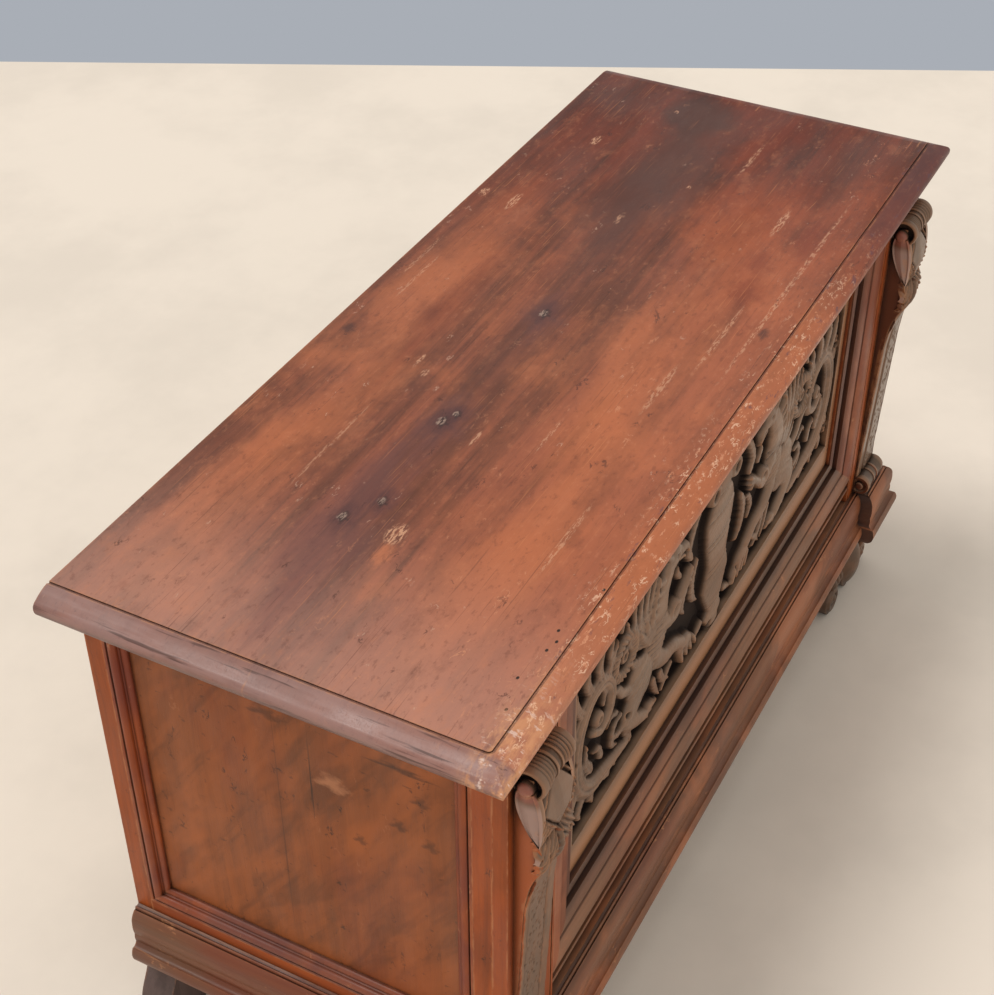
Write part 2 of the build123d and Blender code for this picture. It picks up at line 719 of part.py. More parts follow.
def nail(x, z, spare=0.0):
    """One nail, driven from the back."""
    pin = headed_pin(
        nail_radius + spare, nail_length + spare, nail_head_radius + spare, nail_head_height,
    )
    return Pos(x, back_y, z) * Rot(90, 0, 0) * pin


def build_back():
    """Three back boards, the corner cleats behind which they lie, and their nails."""
    edges = back_board_edges()
    nails = [nail(side * x, z) for _, side in SIDES for x, z in nail_places()]
    holes = [nail(side * x, z, glue_gap) for _, side in SIDES for x, z in nail_places()]
    for name, low, high in zip(("bottom", "middle", "top"), edges, edges[1:]):
        board = block(-inner_x, inner_x, back_inner_y, back_y, low, high)
        board -= holes
        if name == "top":
            for _, side in SIDES:
                board -= leaf_recess(side, carcass_top - leaf_thickness, carcass_top)
                board -= leaf_screws(side, -1, glue_gap)
        add(f"back_board_{name}", board)
    nodes["back_nails"] = Compound(children=[n.solid() for n in nails])
    cleats = [
        block(
            side * inner_x, side * (inner_x - cleat_section), back_inner_y - cleat_section,
            back_inner_y, plinth_bottom + cleat_section + bottom_thickness, carcass_top,
        ) - holes
        for _, side in SIDES
    ]
    nodes["back_cleats"] = Compound(children=[c.solid() for c in cleats])


def build_bottom():
    """Bottom boards, and the cleats that carry them."""
    z0 = plinth_bottom + cleat_section
    names = ("front", "middle", "rear")
    step = (back_inner_y - frame_back_y) / bottom_board_count
    for i, name in enumerate(names):
        y0 = frame_back_y + i * step
        add(f"bottom_board_{name}", block(-inner_x, inner_x, y0, y0 + step, z0, z0 + bottom_thickness))
    z = (plinth_bottom, z0)
    cleats = [
        block(-inner_x, inner_x, frame_back_y, frame_back_y + cleat_section, *z),
        block(-inner_x, inner_x, back_inner_y - cleat_section, back_inner_y, *z),
    ]
    for _, side in SIDES:
        cleats.append(block(
            side * inner_x, side * (inner_x - cleat_section),
            frame_back_y + cleat_section, back_inner_y - cleat_section, *z,
        ))
    nodes["bottom_cleats"] = Compound(children=[c.solid() for c in cleats])


def build_glue_blocks():
    """Blocks glued in the corners behind the feet, under the cleats."""
    z = (plinth_bottom - glue_block_height, plinth_bottom)
    rear_y = back_y - rear_foot_thickness
    front_foot_back = front_y - front_foot_forward + front_foot_depth
    blocks = []
    for _, side in SIDES:
        x = (side * inner_x, side * (inner_x - glue_block_width))
        blocks.append(block(*x, front_foot_back, front_foot_back + glue_block_width, *z))
        blocks.append(block(*x, rear_y - glue_block_width, rear_y, *z))
    nodes["glue_blocks"] = Compound(children=[b.solid() for b in blocks])


# ---- Hinges ----

def leaf_recess(side, z0, z1):
    """The housing of one leaf, open towards the back."""
    x0 = side * hinge_x - hinge_length / 2
    return block(x0, x0 + hinge_length, back_y - leaf_width, back_y + 1, z0, z1)


def leaf_screws(side, way, spare=0.0):
    """Screws of one leaf: way -1 goes down into the back, +1 goes up into the lid."""
    x0 = side * hinge_x - hinge_length / 2
    y = back_y - 0.5 * leaf_width
    face_z = carcass_top if way < 0 else lid_under
    shapes = []
    for x in spread(screws_per_leaf, x0, x0 + hinge_length):
        pin = headed_pin(
            screw_radius + spare, screw_length + spare, screw_head_radius + spare, screw_head_height,
        )
        turn = Rot(180, 0, 0) if way < 0 else Rot(0, 0, 0)
        shapes.append(Pos(x, y, face_z) * turn * pin)
    return shapes


def build_hinge(label, side):
    """Frame leaf, lid leaf and pin of one butt hinge."""
    x0 = side * hinge_x - hinge_length / 2
    step = hinge_length / knuckle_count
    bore = Pos(side * hinge_x, hinge_y, hinge_z) * Rot(0, 90, 0) * Cylinder(
        hinge_pin_radius + pin_clearance, 2 * hinge_length)
    plates = {
        "frame": (carcass_top - leaf_thickness, carcass_top, -1),
        "lid": (lid_under, lid_under + leaf_thickness, 1),
    }
    for name, (z0, z1, way) in plates.items():
        leaf = block(x0, x0 + hinge_length, back_y - leaf_width + glue_gap, back_y, z0, z1)
        for i in range(knuckle_count):
            if (i % 2 == 0) != (name == "frame"):
                continue
            a = x0 + i * step + (knuckle_gap / 2 if i > 0 else 0)
            b = x0 + (i + 1) * step - (knuckle_gap / 2 if i < knuckle_count - 1 else 0)
            leaf += block(a, b, back_y, hinge_y, z0, z1)
            barrel = Cylinder(knuckle_radius, b - a)
            leaf += Pos((a + b) / 2, hinge_y, hinge_z) * Rot(0, 90, 0) * barrel
        leaf -= bore
        leaf -= leaf_screws(side, way, pin_clearance)
        add(f"hinge_{name}_leaf_{label}", leaf)
    pin = Cylinder(hinge_pin_radius, hinge_length)
    for end in (-1, 1):
        head = Cylinder(pin_head_radius, pin_head_height)
        pin += Pos(0, 0, end * (hinge_length + pin_head_height) / 2) * head
    add(f"hinge_pin_{label}", Pos(side * hinge_x, hinge_y, hinge_z) * Rot(0, 90, 0) * pin)


def build_hinge_screws():
    """The leaf screws, one group in the back and one in the lid."""
    for name, way in (("frame", -1), ("lid", 1)):
        screws = [s.solid() for _, side in SIDES for s in leaf_screws(side, way)]
        nodes[f"hinge_{name}_screws"] = Compound(children=screws)


# ---- Lid ----

def lid_edge_profile(core):
    """Section of the moulded edge over a core: (reach from the groove line, height)."""
    w = lid_edge_width
    top = overall_height
    nose = (w, top - lid_edge_drop)
    shoulder = (0.78 * w, top - 1.5 * lid_edge_fall)
    tuck = (w - 2 * lid_nose_round, lid_under)
    under_nose = (w - 0.35 * lid_nose_round, 0.5 * (nose[1] + lid_under))
    return make_face([
        Line((-core, lid_under), (-core, top)),
        Line((-core, top), (0, top)),
        ThreePointArc((0, top), (0.5 * w, top - 0.62 * lid_edge_fall), shoulder),
        ThreePointArc(shoulder, (0.95 * w, top - 0.68 * lid_edge_drop), nose),
        ThreePointArc(nose, under_nose, tuck),
        Line(tuck, (-core, lid_under)),
    ])


def build_lid():
    """Three boards edge to edge, with the moulding round three sides, and two battens."""
    w = lid_edge_width
    half = lid_length / 2
    end_profile = lid_edge_profile(2 * half - w)
    lid = run(
        lid_edge_profile(lid_depth - w), (-half, lid_front_y + w, 0), (1, 0, 0), (0, -1, 0), lid_length,
    )
    for _, side in SIDES:
        start = (side * (half - w), lid_front_y, 0)
        lid = lid & run(end_profile, start, (0, 1, 0), (side, 0, 0), lid_depth)

    left_line = w - half
    front_line = lid_front_y + w
    past = half + lid_depth
    rings = []
    for inset in (-lid_groove_width, 0):
        left = left_line + inset
        low = front_line + inset
        corner = lid_groove_corner - lid_groove_width - inset
        ring = RectangleRounded(past - left, past - low, corner)
        rings.append(Pos((left + past) / 2, (low + past) / 2) * ring)
    floor = Pos(0, 0, overall_height - lid_groove_depth)
    lid -= extrude(floor * (rings[0] - rings[1]), 2 * lid_groove_depth)

    for _, side in SIDES:
        lid -= leaf_recess(side, lid_under, lid_under + leaf_thickness)
        lid -= leaf_screws(side, 1, glue_gap)
    lid -= batten_screw_pins(glue_gap)
    joint_front = lid_front_y + lid_front_strip
    joint_middle = joint_front + lid_middle_board
    cuts = {
        "lid_board_front": (lid_front_y - 1, joint_front),
        "lid_board_middle": (joint_front, joint_middle),
        "lid_board_rear": (joint_middle, back_y + 1),
    }
    for name, (y0, y1) in cuts.items():
        add(name, lid & block(-half - 1, half + 1, y0, y1, lid_under - 1, overall_height + 1))

    for (label, side), x in zip(SIDES, batten_places()):
        batten = block(
            x - batten_width / 2, x + batten_width / 2,
            frame_back_y + batten_front_air, back_inner_y - batten_rear_air,
            lid_under - batten_thickness, lid_under,
        )
        add(f"lid_batten_{label}", batten - batten_screw_pins(glue_gap))
    nodes["lid_batten_screws"] = Compound(children=[s.solid() for s in batten_screw_pins(0.0)])


def batten_places():
    """Middle lines of the two battens."""
    x = inner_x - batten_inset - batten_width / 2
    return -x, x


def batten_screw_pins(spare):
    """Screws up through the battens into the lid boards."""
    y0 = frame_back_y + batten_front_air
    y1 = back_inner_y - batten_rear_air
    pins = []
    for x in batten_places():
        for y in spread(batten_screws, y0, y1):
            pin = headed_pin(
                batten_screw_radius + spare, batten_screw_length + spare,
                batten_screw_head + spare, 2 * screw_head_height,
            )
            pins.append(Pos(x, y, lid_under - batten_thickness) * pin)
    return pins


for side_label, side_sign in SIDES:
    build_end(side_label, side_sign)
    build_console(side_label, side_sign)
    build_front_foot(side_label, side_sign)
    build_rear_foot(side_label, side_sign)
    build_hinge(side_label, side_sign)
build_front()
build_plinth()
build_back()
build_bottom()
build_glue_blocks()
build_hinge_screws()
build_lid()

for node_name, node_shape in nodes.items():
    export_step(node_shape, f"parts/{node_name}.step")
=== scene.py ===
"""Looks of a carved walnut cassone: its woods, its relief carving, its consoles and its feet.

Metres, +Z up, front towards -Y, length along X, origin on the floor under the middle.
"""
import math

import bmesh
import bpy
import numpy as np
from bpy.props import FloatProperty, FloatVectorProperty, IntProperty, PointerProperty
from mathutils import Matrix, Vector


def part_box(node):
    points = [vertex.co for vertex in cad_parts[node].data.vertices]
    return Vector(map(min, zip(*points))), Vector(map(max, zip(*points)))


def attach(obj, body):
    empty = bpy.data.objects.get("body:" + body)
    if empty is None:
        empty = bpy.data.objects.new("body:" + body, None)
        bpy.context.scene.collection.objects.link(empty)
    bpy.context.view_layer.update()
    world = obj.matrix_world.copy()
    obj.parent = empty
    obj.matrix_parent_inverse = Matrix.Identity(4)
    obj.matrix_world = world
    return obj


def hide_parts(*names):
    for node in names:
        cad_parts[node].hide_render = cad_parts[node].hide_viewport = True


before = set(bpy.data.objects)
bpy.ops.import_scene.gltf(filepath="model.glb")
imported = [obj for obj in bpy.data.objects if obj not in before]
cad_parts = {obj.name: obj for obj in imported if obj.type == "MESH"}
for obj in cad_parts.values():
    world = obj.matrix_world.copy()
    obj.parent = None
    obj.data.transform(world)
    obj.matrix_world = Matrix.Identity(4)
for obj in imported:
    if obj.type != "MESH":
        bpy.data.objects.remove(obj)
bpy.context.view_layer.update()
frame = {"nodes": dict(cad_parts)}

bl_info = {
    "name": "Carved Walnut Cassone",
    "version": (1, 0, 0),
    "blender": (4, 5, 0),
    "location": "View3D > Sidebar > Cassone",
    "description": "Finishes and carving of a framed and panelled walnut chest",
    "category": "Object",
}

MM = 0.001
SIDES = (("left", -1), ("right", 1))


# ---- Settings ----

def colour(name, description, red, green, blue):
    """A colour a user can change, given as it looks on a screen, 0 to 255."""
    return FloatVectorProperty(
        name=name, description=description, subtype="COLOR_GAMMA", size=3, min=0, max=1,
        default=(red / 255, green / 255, blue / 255),
    )


class CassoneWoods(bpy.types.PropertyGroup):
    """Colours of the woods, the dirt and painted shade, and the iron."""

    lid: colour("Lid", "Waxed walnut of the lid boards", 148, 82, 58)
    lid_warm: colour("Lid, warm", "Worn orange places of the lid", 188, 108, 68)
    lid_dark: colour("Lid, dark", "Dark heartwood and stains of the lid", 82, 46, 38)
    frame: colour("Frame", "Stiles and rails of the ends", 168, 78, 22)
    red: colour("Moulding, red", "Red-brown stain left in the mouldings", 118, 46, 26)
    end_panel: colour("End panel", "Curly walnut of the end panels", 150, 80, 34)
    moulding: colour("Moulding", "Reeded frame of the front", 138, 94, 66)
    reeds: colour("Upright reeds", "Orange reeds beside the carving", 138, 72, 40)
    carved: colour("Carving", "Dusty walnut of the relief", 142, 108, 84)
    plinth: colour("Plinth", "Plinth mouldings", 134, 86, 58)
    grey: colour("Foot", "Weathered rear feet", 98, 80, 76)
    rubbed: colour("Rubbed wood", "Edges where the stain is worn off", 196, 134, 90)
    # Dirt colour, also used as painted shade in hollows, creases and recesses.
    dirt_and_shade: colour("Dirt", "Wax and dirt in the hollows", 34, 20, 16)
    dust: colour("Dust", "Dust that lies on the carving", 164, 140, 118)
    poplar: colour("Poplar", "Unstained wood of the back and the bottom", 168, 134, 96)
    iron: colour("Iron", "Hinges, screws and nails", 58, 50, 46)


class CassoneCarving(bpy.types.PropertyGroup):
    """Sizes of the carved pieces."""

    pitch: FloatProperty(
        name="Relief step", description="Distance between the points of the relief",
        default=1.42 * MM, min=0.5 * MM, max=8 * MM, unit="LENGTH",
    )
    depth: FloatProperty(
        name="Relief depth", description="From the border of the panel to the sunk ground",
        default=15 * MM, min=2 * MM, max=20 * MM, unit="LENGTH",
    )
    border: FloatProperty(
        name="Panel border", description="Plain border under the relief",
        default=42 * MM, min=5 * MM, max=80 * MM, unit="LENGTH",
    )
    side_border: FloatProperty(
        name="Side border", description="Plain border at the sides and over the relief",
        default=16 * MM, min=2 * MM, max=60 * MM, unit="LENGTH",
    )
    pits: IntProperty(
        name="Punch marks", description="Punch marks on the strip of one console",
        default=120, min=0, max=400,
    )


class CassoneStage(bpy.types.PropertyGroup):
    """Camera, floor and light."""

    floor: colour("Floor", "Pale seamless floor", 240, 229, 216)
    backdrop: colour("Backdrop", "Grey ground behind the floor", 169, 174, 182)
    lens: FloatProperty(
        name="Lens", description="Focal length on a sensor 36 mm wide", default=64.11, min=10, max=300,
    )
    camera: FloatVectorProperty(
        name="Camera", description="Place of the camera", default=(-1.5116, -0.7006, 1.8),
        size=3, subtype="TRANSLATION", unit="LENGTH",
    )
    tilt: FloatProperty(
        name="Tilt", description="Angle of the camera from straight down",
        default=math.radians(51.14), subtype="ANGLE", unit="ROTATION",
    )
    heading: FloatProperty(
        name="Heading", description="Turn of the camera from the +Y direction, clockwise",
        default=math.radians(62.11), subtype="ANGLE", unit="ROTATION",
    )
    roll: FloatProperty(
        name="Roll", description="Turn of the camera about its own axis",
        default=math.radians(-0.14), subtype="ANGLE", unit="ROTATION",
    )


def woods():
    return bpy.context.scene.cassone_woods


def carving():
    return bpy.context.scene.cassone_carving


def stage():
    return bpy.context.scene.cassone_stage


# ---- Node trees ----

def linear(seen, alpha=1.0):
    """A screen colour as the linear colour a shader takes."""
    return [c / 12.92 if c <= 0.04045 else ((c + 0.055) / 1.055) ** 2.4 for c in seen] + [alpha]


class Graph:
    """Short calls that build a node tree. Sockets and plain values are both taken as inputs."""

    def __init__(self, tree):
        self.tree = tree

    def feed(self, socket, value):
        if isinstance(value, bpy.types.NodeSocket):
            self.tree.links.new(value, socket)
        else:
            socket.default_value = value

    def add(self, kind, inputs=(), **settings):
        node = self.tree.nodes.new("ShaderNode" + kind)
        for key, value in settings.items():
            setattr(node, key, value)
        for key, value in dict(inputs).items():
            self.feed(node.inputs[key], value)
        return node

    def math(self, operation, a, b=0.0, clamp=False):
        return self.add("Math", {0: a, 1: b}, operation=operation, use_clamp=clamp).outputs[0]

    def mix(self, share, a, b, blend="MIX"):
        inputs = {0: share, 6: a, 7: b}
        return self.add("Mix", inputs, data_type="RGBA", blend_type=blend, clamp_factor=True).outputs[2]

    def span(self, value, low, high, new_low=0.0, new_high=1.0):
        """A value taken softly from one range to another and held inside it."""
        inputs = {0: value, 1: low, 2: high, 3: new_low, 4: new_high}
        return self.add("MapRange", inputs, interpolation_type="SMOOTHSTEP").outputs[0]

    def times(self, *values):
        """The product of masks and plain shares."""
        product = values[0]
        for value in values[1:]:
            product = self.math("MULTIPLY", product, value)
        return product

    def scaled(self, place, scale, offset=(0, 0, 0), turn=(0, 0, 0)):
        inputs = {"Vector": place, "Location": offset, "Rotation": turn, "Scale": scale}
        return self.add("Mapping", inputs).outputs[0]

    def within(self, place, centre, reach):
        """Place seen from a centre, in shares of a reach."""
        inputs = {"Vector": place, "Location": centre, "Scale": reach}
        return self.add("Mapping", inputs, vector_type="TEXTURE").outputs[0]

    def ball(self, place):
        """One at the origin, none at a distance of one and beyond."""
        return self.add("TexGradient", {"Vector": place}, gradient_type="SPHERICAL").outputs["Fac"]

    def noise(self, place, detail=3.0, roughness=0.55, distortion=0.0):
        inputs = {
            "Vector": place, "Scale": 1.0, "Detail": detail, "Roughness": roughness,
            "Distortion": distortion,
        }
        return self.add("TexNoise", inputs).outputs[0]

    def group(self, name, **inputs):
        node = self.add("Group", node_tree=bpy.data.node_groups[name])
        for key, value in inputs.items():
            self.feed(node.inputs[key.replace("_", " ").capitalize()], value)
        return node.outputs

    def bump(self, height, strength, distance):
        inputs = {"Strength": strength, "Distance": distance, "Height": height}
        return self.add("Bump", inputs).outputs[0]


def new_group(name, inputs, outputs):
    """An empty node group with named sockets, its graph, its inputs and its outputs."""
    tree = bpy.data.node_groups.new(name, "ShaderNodeTree")
    for label, kind, value in inputs:
        socket = tree.interface.new_socket(label, in_out="INPUT", socket_type="NodeSocket" + kind)
        if value is not None:
            socket.default_value = value
    for label, kind in outputs:
        tree.interface.new_socket(label, in_out="OUTPUT", socket_type="NodeSocket" + kind)
    source = tree.nodes.new("NodeGroupInput").outputs
    sink = tree.nodes.new("NodeGroupOutput").inputs
    return Graph(tree), source, sink


def group_grain():
    """Walnut along the X axis of Place: growth bands, streaks and open pores."""
    g, given, out = new_group(
        "Walnut grain",
        [("Place", "Vector", None), ("Light", "Color", None), ("Dark", "Color", None),
         ("Figure", "Float", 0.5), ("Streaks", "Float", 0.5)],
        [("Color", "Color"), ("Height", "Float")],
    )
    place = given["Place"]
    drift = g.noise(g.scaled(place, (1.6, 5, 5)), 2)
    drift = g.times(g.math("SUBTRACT", drift, 0.5), 0.035)
    shift = g.add("CombineXYZ", {1: drift, 2: drift}).outputs[0]
    bent = g.add("VectorMath", {0: place, 1: shift}, operation="ADD").outputs[0]
    bands = g.noise(g.scaled(bent, (1.1, 42, 42)), 3, 0.6)
    streaks = g.noise(g.scaled(bent, (7, 210, 210)), 3, 0.6)
    fine = g.noise(g.scaled(bent, (22, 760, 760)), 2)
    pores = g.span(g.noise(g.scaled(bent, (55, 1300, 1300)), 1), 0.60, 0.72)
    share = g.times(g.span(bands, 0.36, 0.66), given["Figure"])
    lines = g.times(g.span(streaks, 0.42, 0.72), given["Streaks"])
    share = g.math("ADD", share, g.times(lines, 0.45))
    share = g.math("ADD", share, g.times(g.math("SUBTRACT", fine, 0.5), 0.35))
    share = g.math("ADD", share, g.times(pores, 0.22), clamp=True)
    g.feed(out["Color"], g.mix(share, given["Light"], given["Dark"]))
    relief = g.math("SUBTRACT", g.times(fine, 0.5), g.times(pores, 0.8))
    g.feed(out["Height"], g.math("ADD", relief, g.times(streaks, 0.6)))


def group_patches():
    """Soft patches of uneven tone, larger than the grain."""
    g, given, out = new_group(
        "Uneven tone",
        [("Place", "Vector", None), ("Size", "Float", 0.12),
         ("Low", "Float", 0.45), ("High", "Float", 0.65)],
        [("Mask", "Float")],
    )
    scale = g.math("DIVIDE", 1.0, given["Size"])
    wide = g.add("VectorMath", {0: given["Place"], 3: scale}, operation="SCALE").outputs[0]
    value = g.noise(g.scaled(wide, (0.55, 1, 1)), 4, 0.6, 0.4)
    g.feed(out["Mask"], g.span(value, given["Low"], given["High"]))


def group_wear_and_shade():
    """Edges that hands have rubbed, and hollows darkened both for wax and dirt and as painted shade."""
    g, given, out = new_group(
        "Wear and shade",
        [("Place", "Vector", None), ("Edge width", "Float", 0.004), ("Hollow reach", "Float", 0.014)],
        [("Edge", "Float"), ("Hollow", "Float")],
    )
    inside = g.add("AmbientOcclusion", {"Distance": given["Edge width"]}, inside=True, samples=6)
    edge = g.span(inside.outputs["AO"], 0.50, 0.92, 1.0, 0.0)
    broken = g.span(g.noise(g.scaled(given["Place"], (45, 90, 90)), 4, 0.65), 0.38, 0.60)
    g.feed(out["Edge"], g.times(edge, broken))
    # Hollows found by occlusion: dirt and painted shade.
    around = g.add("AmbientOcclusion", {"Distance": given["Hollow reach"]}, samples=6)
    g.feed(out["Hollow"], g.span(around.outputs["AO"], 0.30, 0.95, 1.0, 0.0))


def group_scratches():
    """Short scratches and chips that run roughly with the grain."""
    g, given, out = new_group(
        "Scratches",
        [("Place", "Vector", None), ("Amount", "Float", 0.5)],
        [("Mask", "Float")],
    )
    place = g.scaled(given["Place"], (1, 1, 1), turn=(0, 0, math.radians(5)))
    lines = g.span(g.noise(g.scaled(place, (9, 330, 330)), 2), 0.69, 0.75)
    where = g.span(g.noise(g.scaled(given["Place"], (7, 11, 11)), 2), 0.56, 0.66)
    chips = g.span(g.noise(g.scaled(given["Place"], (70, 230, 230)), 3), 0.70, 0.75)
    where_chips = g.span(g.noise(g.scaled(given["Place"], (5, 8, 8), (3, 7, 1)), 2), 0.55, 0.70)
    both = g.math("MAXIMUM", g.times(lines, where), g.times(chips, where_chips))
    g.feed(out["Mask"], g.times(both, given["Amount"]))


def group_mark():
    """One soft oval place on a surface, with a ragged outline."""
    g, given, out = new_group(
        "Mark",
        [("Place", "Vector", None), ("Centre", "Vector", None), ("Reach", "Vector", (1, 1, 1)),
         ("Ragged", "Float", 0.3)],
        [("Mask", "Float")],
    )
    away = g.within(given["Place"], given["Centre"], given["Reach"])
    distance = g.math("SUBTRACT", 2.0, g.times(g.ball(g.scaled(away, (0.5, 0.5, 0.5))), 2.0))
    rough = g.math("SUBTRACT", g.noise(g.scaled(away, (1.6, 1.6, 1.6)), 4, 0.6), 0.5)
    rough = g.times(rough, 3.0, given["Ragged"])
    g.feed(out["Mask"], g.span(g.math("ADD", distance, rough), 0.25, 1.0, 1.0, 0.0))


def group_spot():
    """One small clean-edged oval place on a surface."""
    g, given, out = new_group(
        "Spot",
        [("Place", "Vector", None), ("Centre", "Vector", None), ("Reach", "Vector", (1, 1, 1))],
        [("Mask", "Float")],
    )
    away = g.within(given["Place"], given["Centre"], given["Reach"])
    g.feed(out["Mask"], g.span(g.ball(away), 0.0, 0.4))


def group_chips():
    """Thin crooked marks in loose flocks, drawn out a little along the grain."""
    g, given, out = new_group(
        "Chips",
        [("Place", "Vector", None), ("Size", "Float", 0.012),
         ("Low", "Float", 0.56), ("High", "Float", 0.62)],
        [("Mask", "Float")],
    )
    scale = g.math("DIVIDE", 1.0, given["Size"])
    wide = g.add("VectorMath", {0: given["Place"], 3: scale}, operation="SCALE").outputs[0]
    value = g.noise(g.scaled(wide, (0.45, 1, 1)), 3, 0.62, 0.4)
    off = g.math("ABSOLUTE", g.math("SUBTRACT", value, 0.5))
    crooked = g.span(off, 0.010, 0.034, 1.0, 0.0)
    bits = g.span(g.noise(g.scaled(wide, (0.5, 0.9, 0.9), (2, 9, 4)), 1), 0.50, 0.58)
    crooked = g.times(crooked, bits)
    flocks = g.noise(g.scaled(wide, (0.17, 0.34, 0.34), (5, 1, 3)), 2, 0.6)
    g.feed(out["Mask"], g.times(crooked, g.span(flocks, given["Low"], given["High"])))


def build_groups():
    """Makes the node groups that the finishes share."""
    builders = (group_grain, group_patches, group_wear_and_shade, group_scratches, group_mark, group_spot, group_chips)
    for build in builders:
        build()


THROUGH = 1000                # reach of a mark across the thickness of a board, in millimetres


class Finish:
    """A wood material in the making: the colour, roughness and height are laid on layer by layer."""

    TURNS = {"x": (0, 0, 0), "y": (0, 0, math.pi / 2), "z": (0, math.pi / 2, 0)}

    def __init__(self, name, grain="x"):
        self.material = bpy.data.materials.new(name)
        self.material.use_nodes = True
        tree = self.material.node_tree
        tree.nodes.clear()
        self.g = Graph(tree)
        here = self.g.add("TexCoord").outputs["Object"]
        chance = self.g.add("ObjectInfo").outputs["Random"]
        apart = self.g.times(chance, 7.0)
        moved = self.g.add("VectorMath", {0: here, 1: apart}, operation="ADD").outputs[0]
        self.here = here
        self.place = self.g.scaled(moved, (1, 1, 1), turn=self.TURNS[grain])
        self.colour = None
        self.height = None
        self.gloss = None

    def wood(self, light, dark, figure, streaks):
        """The first layer: grain from a light tone to a dark one."""
        made = self.g.group(
            "Walnut grain", place=self.place, light=light, dark=dark, figure=figure, streaks=streaks,
        )
        self.colour, self.height = made["Color"], made["Height"]

    def patches(self, tone, size, low, high, share):
        """Uneven tone in soft patches."""
        mask = self.g.group("Uneven tone", place=self.place, size=size, low=low, high=high)["Mask"]
        self.lay(mask, share, tone)

    def over(self, mask, tone, blend="MIX"):
        """A tone over the colour so far, where the mask is."""
        self.colour = self.g.mix(mask, self.colour, tone, blend)

    def lay(self, mask, share, tone):
        """A tone over the colour so far, no stronger than the share."""
        self.over(self.g.times(mask, share), tone)

    def cloud(self, scale, offset, detail, roughness, low, high):
        """A cloudy mask in object coordinates, drawn out along the short numbers of the scale."""
        value = self.g.noise(self.g.scaled(self.here, scale, offset), detail, roughness)
        return self.g.span(value, low, high)

    def marks(self, top, places, tone, ragged):
        """Soft marks on top of the lid, from rows of (x, y, length, width, share) in millimetres."""
        for x, y, length, width, share in places:
            self.mark((x, y, top), (length, width, THROUGH), tone, share, ragged)

    def sink(self, mask, depth):
        """Lowers the surface where the mask is."""
        self.height = self.g.math("SUBTRACT", self.height, self.g.times(mask, depth))

    def worn(self, edge_width, hollow_reach):
        """Masks of the rubbed edges and of the hollows."""
        made = self.g.group(
            "Wear and shade", place=self.place, edge_width=edge_width, hollow_reach=hollow_reach,
        )
        return made["Edge"], made["Hollow"]

    def wear_and_shade(self, edge_width, edge_share, hollow_reach, hollow_share, rubbed=None):
        """Rubs the edges and darkens the hollows with dirt and painted shade."""
        edge, hollow = self.worn(edge_width, hollow_reach)
        self.lay(edge, edge_share, rubbed or linear(woods().rubbed))
        self.lay(hollow, hollow_share, linear(woods().dirt_and_shade))

    def rub_border_and_shade(self, edge_width, edge_share, hollow_reach, hollow_share):
        """Rubs only the outer edges of the lid, so that the joints between its boards stay dark, and darkens
        the hollows with dirt and painted shade.
        """
        g = self.g
        place = g.add("SeparateXYZ", {0: self.here}).outputs
        end_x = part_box("lid_board_front")[1].x
        front_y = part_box("lid_board_front")[0].y
        joint_y = -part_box("lid_board_middle")[0].y
        ends = g.span(g.math("ABSOLUTE", place["X"]), end_x - 40 * MM, end_x - 38 * MM)
        front = g.span(place["Y"], front_y + 34 * MM, front_y + 32 * MM)
        back = g.span(place["Y"], joint_y + 20 * MM, joint_y + 22 * MM)
        rim = g.math("MAXIMUM", ends, g.math("MAXIMUM", front, back))
        edge, hollow = self.worn(edge_width, hollow_reach)
        self.lay(g.times(edge, rim), edge_share, linear(woods().rubbed))
        self.lay(hollow, hollow_share, linear(woods().dirt_and_shade))

    def scratches(self, amount, tone):
        """Scratches with the grain, cut into the surface."""
        mask = self.g.group("Scratches", place=self.place, amount=amount)["Mask"]
        self.over(mask, tone)
        self.sink(mask, 1.5)

    def mark(self, centre, reach, tone, share, ragged):
        """A soft oval place in object coordinates, in millimetres."""
        centre, reach = [c * MM for c in centre], [c * MM for c in reach]
        mask = self.g.group("Mark", place=self.here, centre=centre, reach=reach, ragged=ragged)["Mask"]
        self.lay(mask, share, tone)

    def chips(self, tone, share, size, low, high, where=None):
        """Flocks of thin crooked marks, held to a part of the surface by a mask."""
        mask = self.g.group("Chips", place=self.place, size=size, low=low, high=high)["Mask"]
        if where is not None:
            mask = self.g.times(mask, where)
        self.lay(mask, share, tone)
        self.sink(mask, 0.8)

    def spot(self, centre, reach, tone, share, dent=0.0, broken=0.0):
        """A small oval place in object coordinates, in millimetres, sunk by a dent."""
        centre, reach = [c * MM for c in centre], [c * MM for c in reach]
        mask = self.g.group("Spot", place=self.here, centre=centre, reach=reach)["Mask"]
        if broken:
            torn = self.g.noise(self.g.scaled(self.here, (110, 420, 420)), 3, 0.7)
            mask = self.g.times(mask, self.g.span(torn, broken, broken + 0.08))
        self.lay(mask, share, tone)
        if dent:
            self.sink(mask, dent)

    def axis(self, name):
        """One object coordinate, in metres."""
        return self.g.add("SeparateXYZ", {0: self.here}).outputs[name]

    def facing(self, name):
        """How far the surface looks along one axis, from -1 to 1."""
        normal = self.g.add("NewGeometry").outputs["Normal"]
        return self.g.add("SeparateXYZ", {0: normal}).outputs[name]

